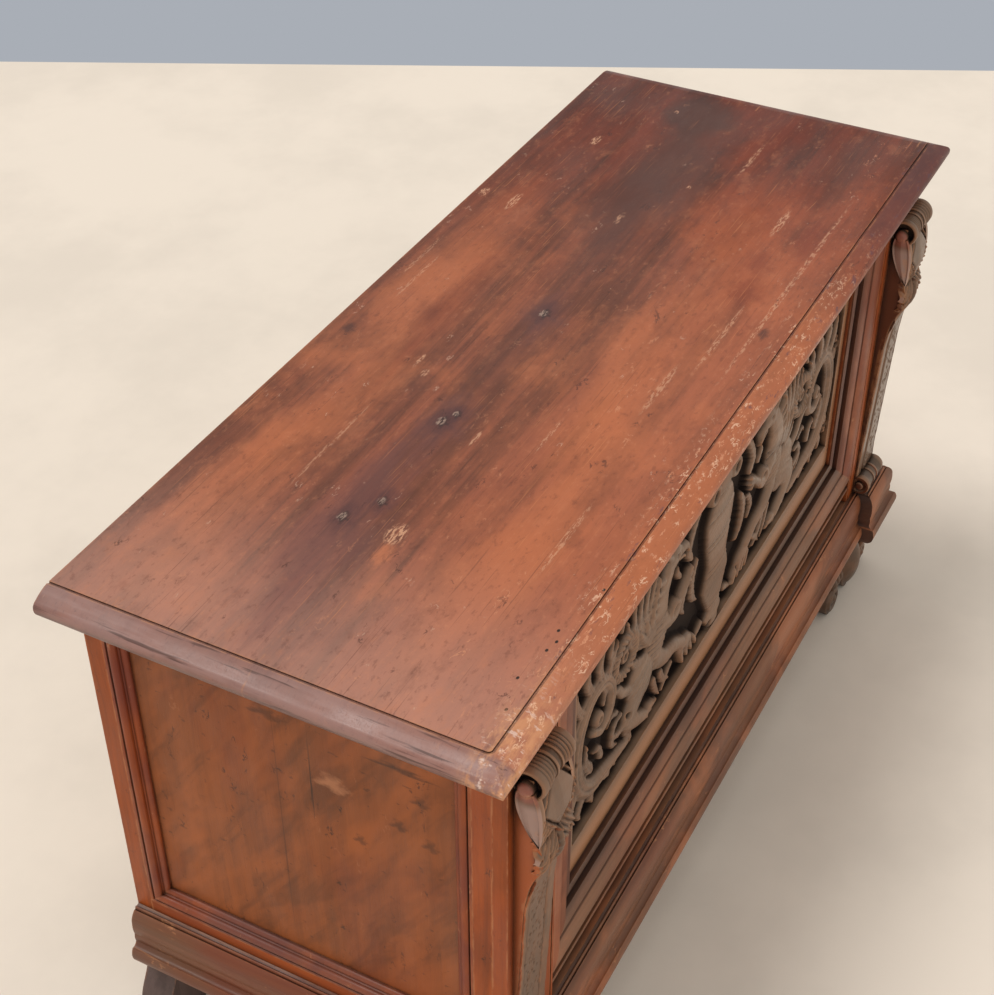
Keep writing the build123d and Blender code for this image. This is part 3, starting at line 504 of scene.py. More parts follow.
    def done(self, rough_low, rough_high, bump=0.25, depth=0.4 * MM, coat=0.0, metal=0.0, specular=0.32):
        """Roughness that follows the grain, and the surface shader."""
        g = self.g
        cloud = g.noise(g.scaled(self.place, (6, 14, 14)), 4)
        rough = g.span(cloud, 0.35, 0.68, rough_low, rough_high)
        if self.gloss is not None:
            rough = g.math("MAXIMUM", rough, g.span(self.gloss, 0.0, 0.7, 0.95, rough_low))
        shader = g.add("BsdfPrincipled", {
            "Base Color": self.colour, "Roughness": rough, "Metallic": metal,
            "Normal": g.bump(self.height, bump, depth),
        })
        shader.inputs["Specular IOR Level"].default_value = specular
        if self.gloss is None:
            shader.inputs["Coat Weight"].default_value = coat
        else:
            g.feed(shader.inputs["Coat Weight"], g.times(self.gloss, coat))
        shader.inputs["Coat Roughness"].default_value = 0.35
        out = g.add("OutputMaterial")
        g.feed(out.inputs["Surface"], shader.outputs[0])
        return self.material


def shade(seen, factor):
    """A screen colour made darker or lighter, as a linear colour."""
    return linear([min(1.0, c * factor) for c in seen])


def both(*names):
    """Names of left and right nodes."""
    return [f"{name}_{label}" for name in names for label, _ in SIDES]


def dress(material, *names):
    """Gives CAD nodes a material."""
    for name in names:
        slots = frame["nodes"][name].data.materials
        slots.clear()
        slots.append(material)


def ease_edges(width, *names):
    """Takes the sharpness off the edges of CAD nodes."""
    for name in names:
        bevel = frame["nodes"][name].modifiers.new("Worn edges", "BEVEL")
        bevel.width = width
        bevel.segments = 2
        bevel.limit_method = "ANGLE"
        bevel.angle_limit = math.radians(40)
        bevel.harden_normals = False


# ---- Woods ----

def lid_finish():
    """Waxed lid boards: a long dark band, knots with chips, stains, scratches and worn places, with painted
    reflection, highlight and shade.
    """
    w = woods()
    f = Finish("lid_walnut")
    f.place = f.here
    low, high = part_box("lid_board_front")
    x, y = f.axis("X"), f.axis("Y")
    f.wood(linear(w.lid), shade(w.lid, 0.66), 0.75, 0.7)
    f.patches(linear(w.lid_warm), 0.13, 0.44, 0.66, 0.55)
    f.patches(shade(w.lid, 0.64), 0.08, 0.50, 0.70, 0.5)
    lay_lid_tones(f, x, y, high.z / MM)
    lay_lid_marks(f, y, high.z / MM)
    lay_lid_nose(f, x, y, low.y, high.z)
    f.rub_border_and_shade(2.2 * MM, 0.55, 4 * MM, 0.9)
    return f.done(0.32, 0.54, 0.26, coat=0.05)


def lay_lid_tones(f, x, y, top):
    """Broad tones of the lid: warm front, painted reflection over the near end, dark far end, stains and
    bloom.
    """
    w = woods()
    g = f.g
    f.marks(top, LID_WARM, linear(w.lid_warm), 0.5)
    front = g.times(g.span(y, 0.00, -0.16), g.span(x, 0.62, 0.10))
    f.lay(front, 0.30, linear((0.78, 0.44, 0.29)))
    # Painted reflection: a pale mauve haze over the near end.
    near = g.span(x, -0.34, -0.64)
    f.lay(near, 0.48, linear((0.76, 0.59, 0.53)))
    far = g.times(g.span(x, -0.05, 0.70), g.span(y, -0.22, 0.02, 0.45, 0.80))
    f.over(far, linear((0.56, 0.30, 0.26)), "MULTIPLY")
    redder = g.times(g.span(x, 0.0, 0.55), 0.9)
    f.over(redder, linear((0.96, 0.82, 0.72)), "MULTIPLY")
    blotch = g.noise(g.scaled(f.here, (16, 30, 30), (3, 3, 1)), 5, 0.68)
    f.over(g.span(blotch, 0.52, 0.70, 0.0, 0.28), linear((0.36, 0.17, 0.12)))
    f.over(g.span(blotch, 0.47, 0.32, 0.0, 0.20), linear((0.78, 0.48, 0.33)))
    mottle = g.noise(g.scaled(f.here, (70, 130, 130), (6, 2, 8)), 4, 0.7)
    f.over(g.span(mottle, 0.54, 0.68, 0.0, 0.30), linear((0.30, 0.14, 0.11)))
    f.over(g.span(mottle, 0.44, 0.32, 0.0, 0.16), linear((0.84, 0.55, 0.40)))
    f.marks(top, [LID_BURN], linear((0.15, 0.09, 0.09)), 0.4)
    f.marks(top, LID_STAINS, linear(w.lid_dark), 0.45)
    f.marks(top, LID_BLOOM, linear((0.40, 0.25, 0.25)), 0.6)
    f.marks(top, LID_RED, linear(w.red), 0.6)


def lay_lid_marks(f, y, top):
    """Knots, scratches, chips and worm holes of the lid."""
    w = woods()
    g = f.g
    halo, heart, filler = (linear(c) for c in ((0.30, 0.18, 0.19), (0.13, 0.09, 0.09), (0.68, 0.57, 0.51)))
    for x, y_knot, size in LID_KNOTS:
        f.marks(top, [(x, y_knot, size * 3.2, size * 1.7, 0.55)], halo, 0.5)
        f.marks(top, [(x, y_knot, size * 1.2, size * 0.7, 0.75)], heart, 0.7)
        f.spot((x, y_knot + 0.2 * size, top), (0.75 * size, 0.5 * size, 40), filler, 0.7, 3.0, 0.46)
    f.scratches(0.55, linear(w.rubbed))
    for x, y_streak, length, width, share in LID_STREAKS:
        f.spot((x, y_streak, top), (length, width, 40), linear((0.84, 0.63, 0.50)), share, 1.0, 0.47)
    threads = f.cloud((9, 620, 620), (2, 5, 0), 2, 0.6, 0.62, 0.70)
    threads = g.times(threads, f.cloud((5, 14, 14), (0, 0, 0), 3, 0.55, 0.46, 0.62))
    f.lay(threads, 0.40, linear((0.82, 0.52, 0.34)))
    lines = f.cloud((6, 520, 520), (7, 1, 0), 2, 0.6, 0.64, 0.72)
    f.lay(lines, 0.45, linear((0.26, 0.13, 0.10)))
    worn = g.span(y, 0.05, -0.18, 0.35, 1.0)
    f.chips(linear((0.82, 0.56, 0.42)), 0.60, 0.009, 0.62, 0.67, worn)
    f.chips(linear((0.80, 0.64, 0.55)), 0.55, 0.006, 0.66, 0.70)
    f.chips(linear((0.24, 0.12, 0.10)), 0.60, 0.010, 0.61, 0.68)
    for x, y_hole in LID_WORM:
        f.spot((x, y_hole, top), (2.6, 1.8, 40), linear((0.06, 0.04, 0.03)), 0.95, 6.0)


def lay_lid_nose(f, x, y, edge, top):
    """Moulded rim of the lid: bruised at the far end, chipped along the front with a painted highlight, grey
    at the near end with painted shade on its lower part.
    """
    g = f.g
    nose = g.span(y, edge + 27 * MM, edge + 21 * MM)
    rim = g.span(y, edge + 52 * MM, edge + 24 * MM)
    # Painted highlight along the front of the nose, fading towards the far end.
    painted_shine = g.times(nose, g.span(x, 0.35, 0.05))
    f.lay(painted_shine, 0.35, linear((0.80, 0.48, 0.31)))
    bruise = g.times(nose, g.span(x, 0.20, 0.42))
    f.lay(bruise, 0.55, linear((0.34, 0.21, 0.22)))
    blue = f.cloud((30, 90, 90), (1, 8, 2), 4, 0.7, 0.60, 0.68)
    f.lay(g.times(blue, rim), 0.55, linear((0.32, 0.24, 0.30)))
    pale = g.times(rim, g.span(x, 0.48, 0.05))
    f.chips(linear((0.92, 0.74, 0.62)), 0.85, 0.0075, 0.46, 0.56, pale)
    flecks = f.cloud((80, 190, 190), (0, 0, 0), 3, 0.7, 0.59, 0.66)
    f.lay(g.times(flecks, pale), 0.65, linear((0.86, 0.60, 0.46)))
    end = g.span(x, -0.609, -0.615)
    f.lay(end, 0.6, linear((0.48, 0.36, 0.35)))
    grey = f.cloud((60, 7, 60), (3, 2, 5), 4, 0.6, 0.46, 0.62)
    f.lay(g.times(grey, end), 0.30, linear((0.66, 0.54, 0.52)))
    dull = f.cloud((160, 9, 160), (8, 4, 1), 3, 0.6, 0.56, 0.66)
    f.lay(g.times(dull, end), 0.7, linear((0.24, 0.14, 0.12)))
    # Painted shade on the lower part of the near end of the nose.
    under = g.span(f.axis("Z"), top - 13 * MM, top - 22 * MM)
    f.lay(g.times(under, end), 0.55, linear((0.26, 0.15, 0.13)))
    corner = g.times(rim, g.span(x, -0.46, -0.63))
    rubbed = f.cloud((26, 60, 60), (4, 4, 4), 4, 0.7, 0.40, 0.62)
    f.lay(g.times(corner, rubbed), 0.8, linear((0.87, 0.62, 0.44)))
    scraped = f.cloud((120, 60, 60), (9, 4, 2), 3, 0.7, 0.58, 0.66)
    f.lay(g.times(corner, scraped), 0.7, linear((0.93, 0.83, 0.78)))


# Places on top of the lid, in millimetres from its middle: x, y, length, width and share.
LID_BURN = (547, 82, 95, 56, 0.85)
LID_WARM = (
    (-130, -110, 280, 60, 0.5), (320, -80, 190, 60, 0.45), (-340, -130, 150, 60, 0.4),
    (110, 190, 260, 50, 0.4), (-390, 180, 200, 55, 0.45), (-432, -6, 26, 12, 0.8),
)
LID_STAINS = (
    (348, 60, 330, 74, 0.85), (547, 79, 74, 66, 0.97), (-117, 42, 240, 34, 0.45),
    (-170, 105, 34, 16, 0.45), (-113, 227, 16, 11, 0.85), (91, -190, 18, 8, 0.75),
    (500, -150, 160, 60, 0.4), (560, 190, 110, 60, 0.45),
)
LID_BLOOM = (
    (-405, 55, 220, 52, 0.55), (-219, 47, 80, 36, 0.4), (15, 45, 70, 34, 0.35), (-540, 20, 110, 60, 0.2),
)
LID_RED = (
    (163, -141, 46, 26, 0.5), (227, -133, 40, 24, 0.45), (307, -165, 60, 22, 0.5), (420, 120, 150, 26, 0.4),
    (-20, 150, 200, 26, 0.35), (560, -40, 90, 40, 0.4),
)
LID_KNOTS = ((-401, 57, 11), (-363, 35, 10), (-219, 47, 12), (-201, 40, 8), (15, 45, 12))  # x, y, size
LID_STREAKS = (
    (231, 239, 14, 7, 0.8), (227, 195, 26, 7, 0.7), (421, 173, 16, 7, 0.7), (545, 111, 6, 4, 0.7),
    (361, 15, 5, 4, 0.8), (465, -29, 54, 4, 0.6), (-133, 125, 17, 3, 0.7), (-304, 131, 95, 3, 0.4),
    (-229, 3, 17, 3, 0.6), (195, -181, 256, 4, 0.5), (-190, -62, 40, 3, 0.45), (60, 232, 60, 3, 0.4),
    (-400, -2, 20, 12, 0.8), (-60, -130, 60, 5, 0.5), (60, -150, 90, 4, 0.5), (-150, 108, 9, 5, 0.6),
    (330, -120, 40, 6, 0.6), (250, 60, 18, 5, 0.5), (20, 214, 60, 3, 0.4), (-330, -150, 70, 4, 0.5),
)
LID_WORM = ((-477, -203), (-463, -206), (-449, -201), (-559, -205), (-520, -196), (-380, -214))


def frame_finish(name, grain):
    """Orange walnut of the end frames, with dark scratches."""
    w = woods()
    f = Finish(name, grain)
    f.wood(linear(w.frame), shade(w.frame, 0.72), 0.55, 0.6)
    f.patches(shade(w.frame, 0.62), 0.09, 0.50, 0.70, 0.5)
    f.patches(linear(w.red), 0.15, 0.48, 0.7, 0.45)
    f.chips(linear(w.dirt_and_shade), 0.7, 0.008, 0.57, 0.64)
    f.scratches(0.8, linear(w.dirt_and_shade))
    f.wear_and_shade(2.4 * MM, 0.65, 10 * MM, 0.8)
    return f.done(0.40, 0.60, 0.3, coat=0.02)


def end_panel_finish():
    """Curly walnut: diagonal dark curls, specks, one pale patch and one short split."""
    w = woods()
    f = Finish("end_panel_walnut", "z")
    g = f.g
    f.wood(linear(w.end_panel), shade(w.end_panel, 0.78), 0.5, 0.35)
    slant = g.scaled(f.here, (1, 1, 1), turn=(math.radians(-32), 0, 0))
    curls = g.span(g.noise(g.scaled(slant, (8, 34, 9)), 3, 0.6, 0.5), 0.42, 0.68)
    f.lay(curls, 0.55, shade(w.end_panel, 0.58))
    glow = g.span(g.noise(g.scaled(slant, (8, 22, 7), (4, 2, 9)), 3), 0.46, 0.66)
    f.lay(glow, 0.5, shade(w.end_panel, 1.16))
    specks = f.cloud((60, 60, 110), (0, 0, 0), 3, 0.6, 0.64, 0.72)
    f.lay(specks, 0.5, shade(w.end_panel, 0.42))
    f.patches(linear(w.red), 0.2, 0.48, 0.7, 0.35)
    for y, z, width, tall, share in PANEL_DARK:
        for side in (-1, 1):
            f.mark((side * PANEL_AWAY, y, z), (100, width, tall), shade(w.end_panel, 0.40), share, 0.7)
    for side in (-1, 1):
        f.mark((side * PANEL_AWAY, -21, 518), (100, 24, 14), linear((0.78, 0.52, 0.36)), 0.6, 0.6)
    f.chips(linear((0.72, 0.46, 0.30)), 0.35, 0.008, 0.66, 0.72)
    f.chips(linear((0.18, 0.09, 0.06)), 0.7, 0.009, 0.58, 0.66)
    # Darkens the panel near its frame with dirt and painted shade.
    f.wear_and_shade(2 * MM, 0.2, 26 * MM, 0.75)
    return f.done(0.40, 0.60, 0.3, coat=0.06)


PANEL_AWAY = 580              # from the middle of the chest to the outside of an end
PANEL_DARK = (
    (4, 508, 1.6, 60, 0.9), (49, 582, 26, 10, 0.6), (-100, 577, 44, 5, 0.7), (-94, 497, 12, 9, 0.6),
    (-49, 452, 10, 8, 0.55), (-129, 485, 12, 10, 0.55), (-119, 542, 13, 8, 0.55), (-19, 369, 4, 4, 0.8),
    (-19, 297, 4, 4, 0.8), (44, 420, 1.2, 190, 0.5),
)


def moulding_finish(name, grain, tone, red_share, deep=None, grey=0.4, bright=0.0, shaded_returns=False):
    """Moulded members: rubbed along the arrises, dark with dirt and painted shade in the grooves and between
    two depths, and where asked with painted shade on the sideways returns.
    """
    w = woods()
    f = Finish(name, grain)
    f.wood(linear(tone), shade(tone, 0.74), 0.5, 0.6)
    f.patches(linear(w.red), 0.12, 0.40, 0.62, red_share)
    f.patches(linear(w.grey), 0.22, 0.46, 0.70, grey)
    f.patches(linear((0.74, 0.45, 0.29)), 0.09, 0.46, 0.62, bright)
    f.chips(shade(w.rubbed, 0.95), 0.6, 0.008, 0.58, 0.66)
    f.scratches(0.6, shade(w.rubbed, 0.95))
    f.wear_and_shade(2.6 * MM, 0.38, 11 * MM, 0.9)
    if deep:
        # Dirt and painted shade between two depths behind the face.
        f.lay(f.g.span(f.axis("Y"), *deep[:2]), deep[2], linear(w.dirt_and_shade))
    if shaded_returns:
        # Painted shade on the sideways faces of the plinth returns.
        facing = f.facing("X")
        away = f.g.math("ABSOLUTE", f.axis("X"))
        sideways = f.g.span(f.g.math("ABSOLUTE", facing), 0.45, 0.75)
        turned = f.g.times(sideways, f.g.span(away, 0.53, 0.525))
        f.lay(turned, 0.8, linear((0.20, 0.15, 0.14)))
    return f.done(0.38, 0.58, 0.28, coat=0.06)


def carved_finish(name, grain, tone, dust_share, deep=None, wall=None):
    """Carved walnut: painted shade near black in the depths, dust on what faces up, rubbed on the high
    places.
    """
    w = woods()
    f = Finish(name, grain)
    g = f.g
    f.wood(linear(tone), shade(tone, 0.74), 0.6, 0.5)
    f.patches(linear(w.moulding), 0.09, 0.45, 0.65, 0.5)
    f.lay(g.span(f.facing("Z"), -0.1, 0.9), dust_share, linear(w.dust))
    sharp = g.add("NewGeometry").outputs["Pointiness"]
    f.lay(g.span(sharp, 0.52, 0.60), 0.45, linear(w.rubbed))
    # Dirt and painted shade in the creases, found by low pointiness.
    f.lay(g.span(sharp, 0.495, 0.44), 0.85, linear(w.dirt_and_shade))
    if wall:
        wall(f)
    edge, sunk = f.worn(2.6 * MM, 15 * MM)
    f.lay(edge, 0.35, linear(w.rubbed))
    # Painted shade: the hollows of the relief, found by occlusion, darkened to near black.
    f.over(sunk, shade(w.dirt_and_shade, 0.7))
    # Painted shade on the sunk ground, by its depth behind the face.
    if deep:
        ground = g.times(g.span(f.axis("Y"), *deep[:2]), deep[2])
        f.over(ground, shade(w.dirt_and_shade, 0.7))
        sunk = g.math("MAXIMUM", sunk, ground)
    f.gloss = g.span(sunk, 0.05, 0.75, 1.0, 0.03)
    return f.done(0.28, 0.50, 0.3, coat=0.20, specular=0.24)


def console_walls(f):
    """Side walls of the consoles: orange outside with painted shade turning red-brown towards the bottom,
    painted shade inside, with pale leaves and red bosses.
    """
    g = f.g
    w = woods()
    low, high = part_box("console_right")
    across = g.math("SUBTRACT", g.math("ABSOLUTE", f.axis("X")), 0.5 * (low.x + high.x))
    away = g.math("ABSOLUTE", across)
    up = f.axis("Z")
    flat = g.span(g.math("ABSOLUTE", f.facing("X")), 0.80, 0.95)
    wall = g.times(flat, g.span(away, 35.0 * MM, 35.6 * MM, 1.0, 0.0))
    wall = g.times(wall, g.span(up, 602 * MM, 596 * MM))
    outside = g.times(wall, g.span(across, -1 * MM, 1 * MM))
    inside = g.times(wall, g.span(across, 1 * MM, -1 * MM))
    f.lay(outside, 0.9, linear(w.frame))
    # Painted shade: the outer walls turn red-brown towards the bottom.
    f.over(g.times(outside, g.span(up, 420 * MM, 230 * MM, 0.0, 0.6)), linear(w.red))
    # Painted shade on the inner walls.
    f.lay(inside, 0.92, linear((0.34, 0.16, 0.09)))
    hanging = g.span(away, 35.6 * MM, 36.6 * MM)
    leaf = g.times(hanging, g.span(up, 612 * MM, 600 * MM))
    f.lay(leaf, 0.7, linear((0.70, 0.57, 0.53)))
    boss = g.times(hanging, g.span(up, 606 * MM, 614 * MM))
    f.lay(boss, 0.7, linear((0.60, 0.34, 0.29)))


def plain_finish(name, tone, grain):
    """Plain sawn or weathered wood."""
    f = Finish(name, grain)
    f.wood(linear(tone), shade(tone, 0.72), 0.55, 0.6)
    f.patches(shade(tone, 0.7), 0.1, 0.48, 0.7, 0.5)
    f.scratches(0.5, shade(tone, 1.25))
    f.wear_and_shade(3 * MM, 0.3, 12 * MM, 0.7)
    return f.done(0.55, 0.75, 0.35)


def iron_finish():
    """Dark forged iron, rusted in patches and rubbed bright on the edges."""
    w = woods()
    f = Finish("forged_iron")
    g = f.g
    f.colour = linear(w.iron)
    rust = g.span(g.noise(g.scaled(f.place, (160, 160, 160)), 4, 0.65), 0.48, 0.66)
    f.lay(rust, 0.7, linear((0.36, 0.2, 0.12)))
    f.height = g.noise(g.scaled(f.place, (400, 400, 400)), 4)
    f.wear_and_shade(0.8 * MM, 0.5, 3 * MM, 0.6, rubbed=linear((0.55, 0.52, 0.5)))
    return f.done(0.45, 0.7, 0.4, 0.3 * MM, metal=0.75)


# ---- Meshes ----

def make_object(name, points, faces, material, replaced, smooth_angle):
    """A carved piece of the carcass that stands for one CAD node."""
    mesh = bpy.data.meshes.new(name)
    mesh.from_pydata([tuple(map(float, p)) for p in points], [], faces)
    mesh.validate()
    mesh.materials.append(material)
    piece = bpy.data.objects.new(name, mesh)
    bpy.context.scene.collection.objects.link(piece)
    soften(piece, smooth_angle)
    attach(piece, "carcass")
    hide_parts(replaced)
    return piece


def soften(piece, angle):
    """Smooth shading that keeps edges sharper than an angle."""
    mesh = piece.data
    mesh.shade_smooth()
    mesh.set_sharp_from_angle(angle=math.radians(angle))


# ---- Carved panel ----

RELIEF_HALF = 374.0           # the relief is drawn in a field of this size and stretched to fit
RELIEF_RISE = 119.5


class Relief:
    """Height of the carving over one half of its field, in millimetres.

    u runs from the middle of the panel outwards, v upwards from the middle of the field.
    """

    def __init__(self, half, low, high, pitch):
        columns = int(round(half / pitch)) + 1
        rows = int(round((high - low) / pitch)) + 1
        self.u = np.linspace(0, half, columns)
        self.v = np.linspace(low, high, rows)
        self.U, self.V = np.meshgrid(self.u, self.v)
        self.H = np.zeros_like(self.U)

    @staticmethod
    def smooth_path(points, widths, steps=9):
        """A round path through the points, and its half width along the way."""
        p = np.array(points, float)
        w = np.interp(np.linspace(0, 1, len(p)), np.linspace(0, 1, len(widths)), widths)
        q = np.vstack([2 * p[0] - p[1], p, 2 * p[-1] - p[-2]])
        line, wide = [], []
        for i in range(len(p) - 1):
            a, b, c, d = q[i:i + 4]
            for t in np.arange(steps) / steps:
                bend = (2 * a - 5 * b + 4 * c - d) * t**2 + (3 * b - 3 * c + d - a) * t**3
                line.append(0.5 * (2 * b + (c - a) * t + bend))
                wide.append(w[i] + (w[i + 1] - w[i]) * t)
        return np.array(line + [p[-1]]), np.array(wide + [w[-1]])

    def measure(self, points, widths):
        """For each place: distance over half width, signed side, and way along the path."""
        p, w = self.smooth_path(points, widths)
        ratio = np.full(self.U.shape, 9.0)
        side = np.zeros(self.U.shape)
        along = np.zeros(self.U.shape)
        run = 0.0
        for i in range(len(p) - 1):
            d = p[i + 1] - p[i]
            length = max(np.hypot(*d), 1e-6)
            reach = max(w[i], w[i + 1]) * 1.4 + 3
            low = np.minimum(p[i], p[i + 1]) - reach
            high = np.maximum(p[i], p[i + 1]) + reach
            i0, i1 = np.searchsorted(self.v, [low[1], high[1]])
            j0, j1 = np.searchsorted(self.u, [low[0], high[0]])
            near = (slice(i0, i1), slice(j0, j1))
            x, y = self.U[near] - p[i][0], self.V[near] - p[i][1]
            t = np.clip((x * d[0] + y * d[1]) / length**2, 0, 1)
            r = np.hypot(x - t * d[0], y - t * d[1]) / np.maximum(w[i] + (w[i + 1] - w[i]) * t, 0.3)
            closer = r < ratio[near]
            ratio[near] = np.where(closer, r, ratio[near])
            side[near] = np.where(closer, r * np.sign(d[0] * y - d[1] * x), side[near])
            along[near] = np.where(closer, run + t * length, along[near])
            run += length
        return ratio, side, along

    def put(self, height, inside):
        """Adds a form where it stands higher than what is there."""
        self.H = np.where(inside, np.maximum(self.H, height), self.H)

    def stroke(self, points, widths, top, base=0.5, vein=0.0, twist=0.0, flute=0.0, lobes=0.0, lobe=14.0):
        """A rounded bar along a path: a leaf, a limb, a rope or a moulding."""
        ratio, side, along = self.measure(points, widths)
        if vein and not lobes:
            lobes, lobe = 0.2, 8.0
        if lobes:
            ratio = ratio / (1 - lobes + lobes * np.abs(np.sin(np.pi * along / lobe)) ** 0.6)
        r = np.clip(ratio, 0, 1)
        h = top * (base + (1 - base) * np.sqrt(1 - r**2))
        h = h - vein * np.exp(-(side / 0.13) ** 2)
        if vein:
            nerve = 0.5 + 0.5 * np.cos(2 * np.pi * (along - 8.0 * np.abs(side)) / 5.6)
            h = h - 0.55 * vein * nerve * np.clip(np.abs(side) * 3, 0, 1)
        h = h - twist * (0.5 + 0.5 * np.cos(2 * np.pi * (along + side * 7.0) / 7.5)) * (1 - 0.3 * r)
        h = h - flute * (0.5 + 0.5 * np.cos(3 * np.pi * side))
        self.put(np.maximum(h, 0.3), ratio < 1)

    def oval(self, x, y, a, b, turn):
        """Place of each point in an oval: across, along and squared distance."""
        c, s = math.cos(math.radians(turn)), math.sin(math.radians(turn))
        dx, dy = self.U - x, self.V - y
        p, q = (dx * c + dy * s) / a, (-dx * s + dy * c) / b
        return p, q, p**2 + q**2

    def blob(self, x, y, a, b, turn, top, base=0.5, stripe=0.0, stripe_length=6.0):
        """A rounded oval, with ribs across it."""
        p, q, r2 = self.oval(x, y, a, b, turn)
        h = top * (base + (1 - base) * np.sqrt(np.clip(1 - r2, 0, 1)))
        wave = 0.5 + 0.5 * np.cos(2 * np.pi * (q * b + 3 * p * p) / stripe_length)
        self.put(h - stripe * wave * (r2 < 0.85), r2 < 1)

    def ring(self, x, y, radius, width, top, base=0.5, twist=0.0):
        """A round ring, with rope turns on it."""
        dx, dy = self.U - x, self.V - y
        off = (np.hypot(dx, dy) - radius) / width
        h = top * (base + (1 - base) * np.sqrt(np.clip(1 - off**2, 0, 1)))
        turns = round(2 * np.pi * radius / 7.5)
        h = h - twist * (0.5 + 0.5 * np.cos(turns * np.arctan2(dy, dx) + 5 * off))
        self.put(h, np.abs(off) < 1)

    def sink(self, x, y, a, b, turn=0.0, depth=6.0):
        """An oval hole."""
        _, _, r2 = self.oval(x, y, a, b, turn)
        lower = np.maximum(self.H - depth * np.clip(1 - r2, 0, 1) ** 0.4, 0)
        self.H = np.where(r2 < 1, lower, self.H)

    def cut(self, points, widths, depth):
        """A groove along a path."""
        ratio, _, _ = self.measure(points, widths)
        self.H = np.where(ratio < 1, np.maximum(self.H - depth * (1 - ratio**2), 0), self.H)

    def tool_marks(self, deep):
        """Shallow gouge marks that break up the plain swellings."""
        across = np.sin(0.83 * self.U + 2.2 * np.sin(0.17 * self.V))
        upward = np.sin(0.61 * self.V + 1.7 * np.sin(0.13 * self.U))
        self.H = np.where(self.H > 4, self.H + deep * across * upward, self.H)

    def soften(self):
        """Evens each point out with its neighbours."""
        p = np.pad(self.H, 1, mode="edge")
        rows = p[:-2] + 2 * p[1:-1] + p[2:]
        self.H = (rows[:, :-2] + 2 * rows[:, 1:-1] + rows[:, 2:]) / 16


def carve_scroll(r):
    """Acanthus scroll that fills the end of the field, with leaves thrown off all round it."""
    leaves = (
        ((300, -84), (290, -98), (270, -112)), ((318, -88), (322, -102), (310, -117)),
        ((340, -78), (352, -94), (346, -114)), ((356, -52), (369, -72), (371, -98)),
        ((362, 20), (371, 44), (370, 72)), ((348, 50), (362, 74), (366, 104)),
        ((330, 66), (340, 90), (334, 116)), ((308, 66), (312, 88), (300, 112)),
        ((292, 52), (284, 72), (268, 88)),
    )
    for leaf in leaves:
        r.stroke(leaf, (9, 8, 1), 13, 0.55, vein=2.5)
    r.stroke(
        ((238, -96), (262, -92), (292, -88), (325, -82), (350, -56), (361, -16), (356, 28), (332, 58),
         (300, 56), (282, 30), (286, 2), (306, -10), (322, 0)),
        (6, 9, 13, 15, 14, 12, 10, 8, 7), 15, flute=2.6,
    )
    r.blob(312, 12, 11, 11, 0, 15)
    r.sink(312, 12, 4, 4)
    r.stroke(((326, -52), (338, -30), (336, -6)), (10, 8, 2), 13, vein=3, lobes=0.35, lobe=10)
    r.stroke(((300, -56), (306, -40), (322, -34)), (8, 6, 1), 12, vein=2)


def carve_tail(r):
    """Tail of the beast: a twisted rope coiled round an eye."""
    r.stroke(((232, -20), (250, -10), (262, 6), (276, 14)), (9, 8, 7, 4), 12)
    r.ring(252, 48, 24, 8.5, 15, 0.45, twist=3.4)
    r.blob(252, 48, 10, 12, 0, 13, 0.4)
    r.sink(252, 48, 4, 5, 0, 7)
    r.stroke(((276, 62), (286, 82), (278, 104)), (7, 7, 1), 12, vein=2)


def carve_wing(r):
    """Wing: five long feathers and three short ones over them."""
    feathers = (
        ((182, 34), (192, 70), (180, 112)), ((188, 34), (204, 68), (196, 113)),
        ((194, 32), (216, 64), (214, 112)), ((200, 28), (226, 58), (232, 108)),
        ((204, 22), (234, 46), (248, 92)),
    )
    for k, feather in enumerate(feathers):
        r.stroke(feather, (8.5, 8, 3), 13.5 - 0.4 * k, vein=2.2)
    for k in range(3):
        short = ((184 + 6 * k, 24 - 3 * k), (190 + 10 * k, 44 - 4 * k), (186 + 16 * k, 62 - 6 * k))
        r.stroke(short, (8, 7, 2), 15.5, vein=1.6)


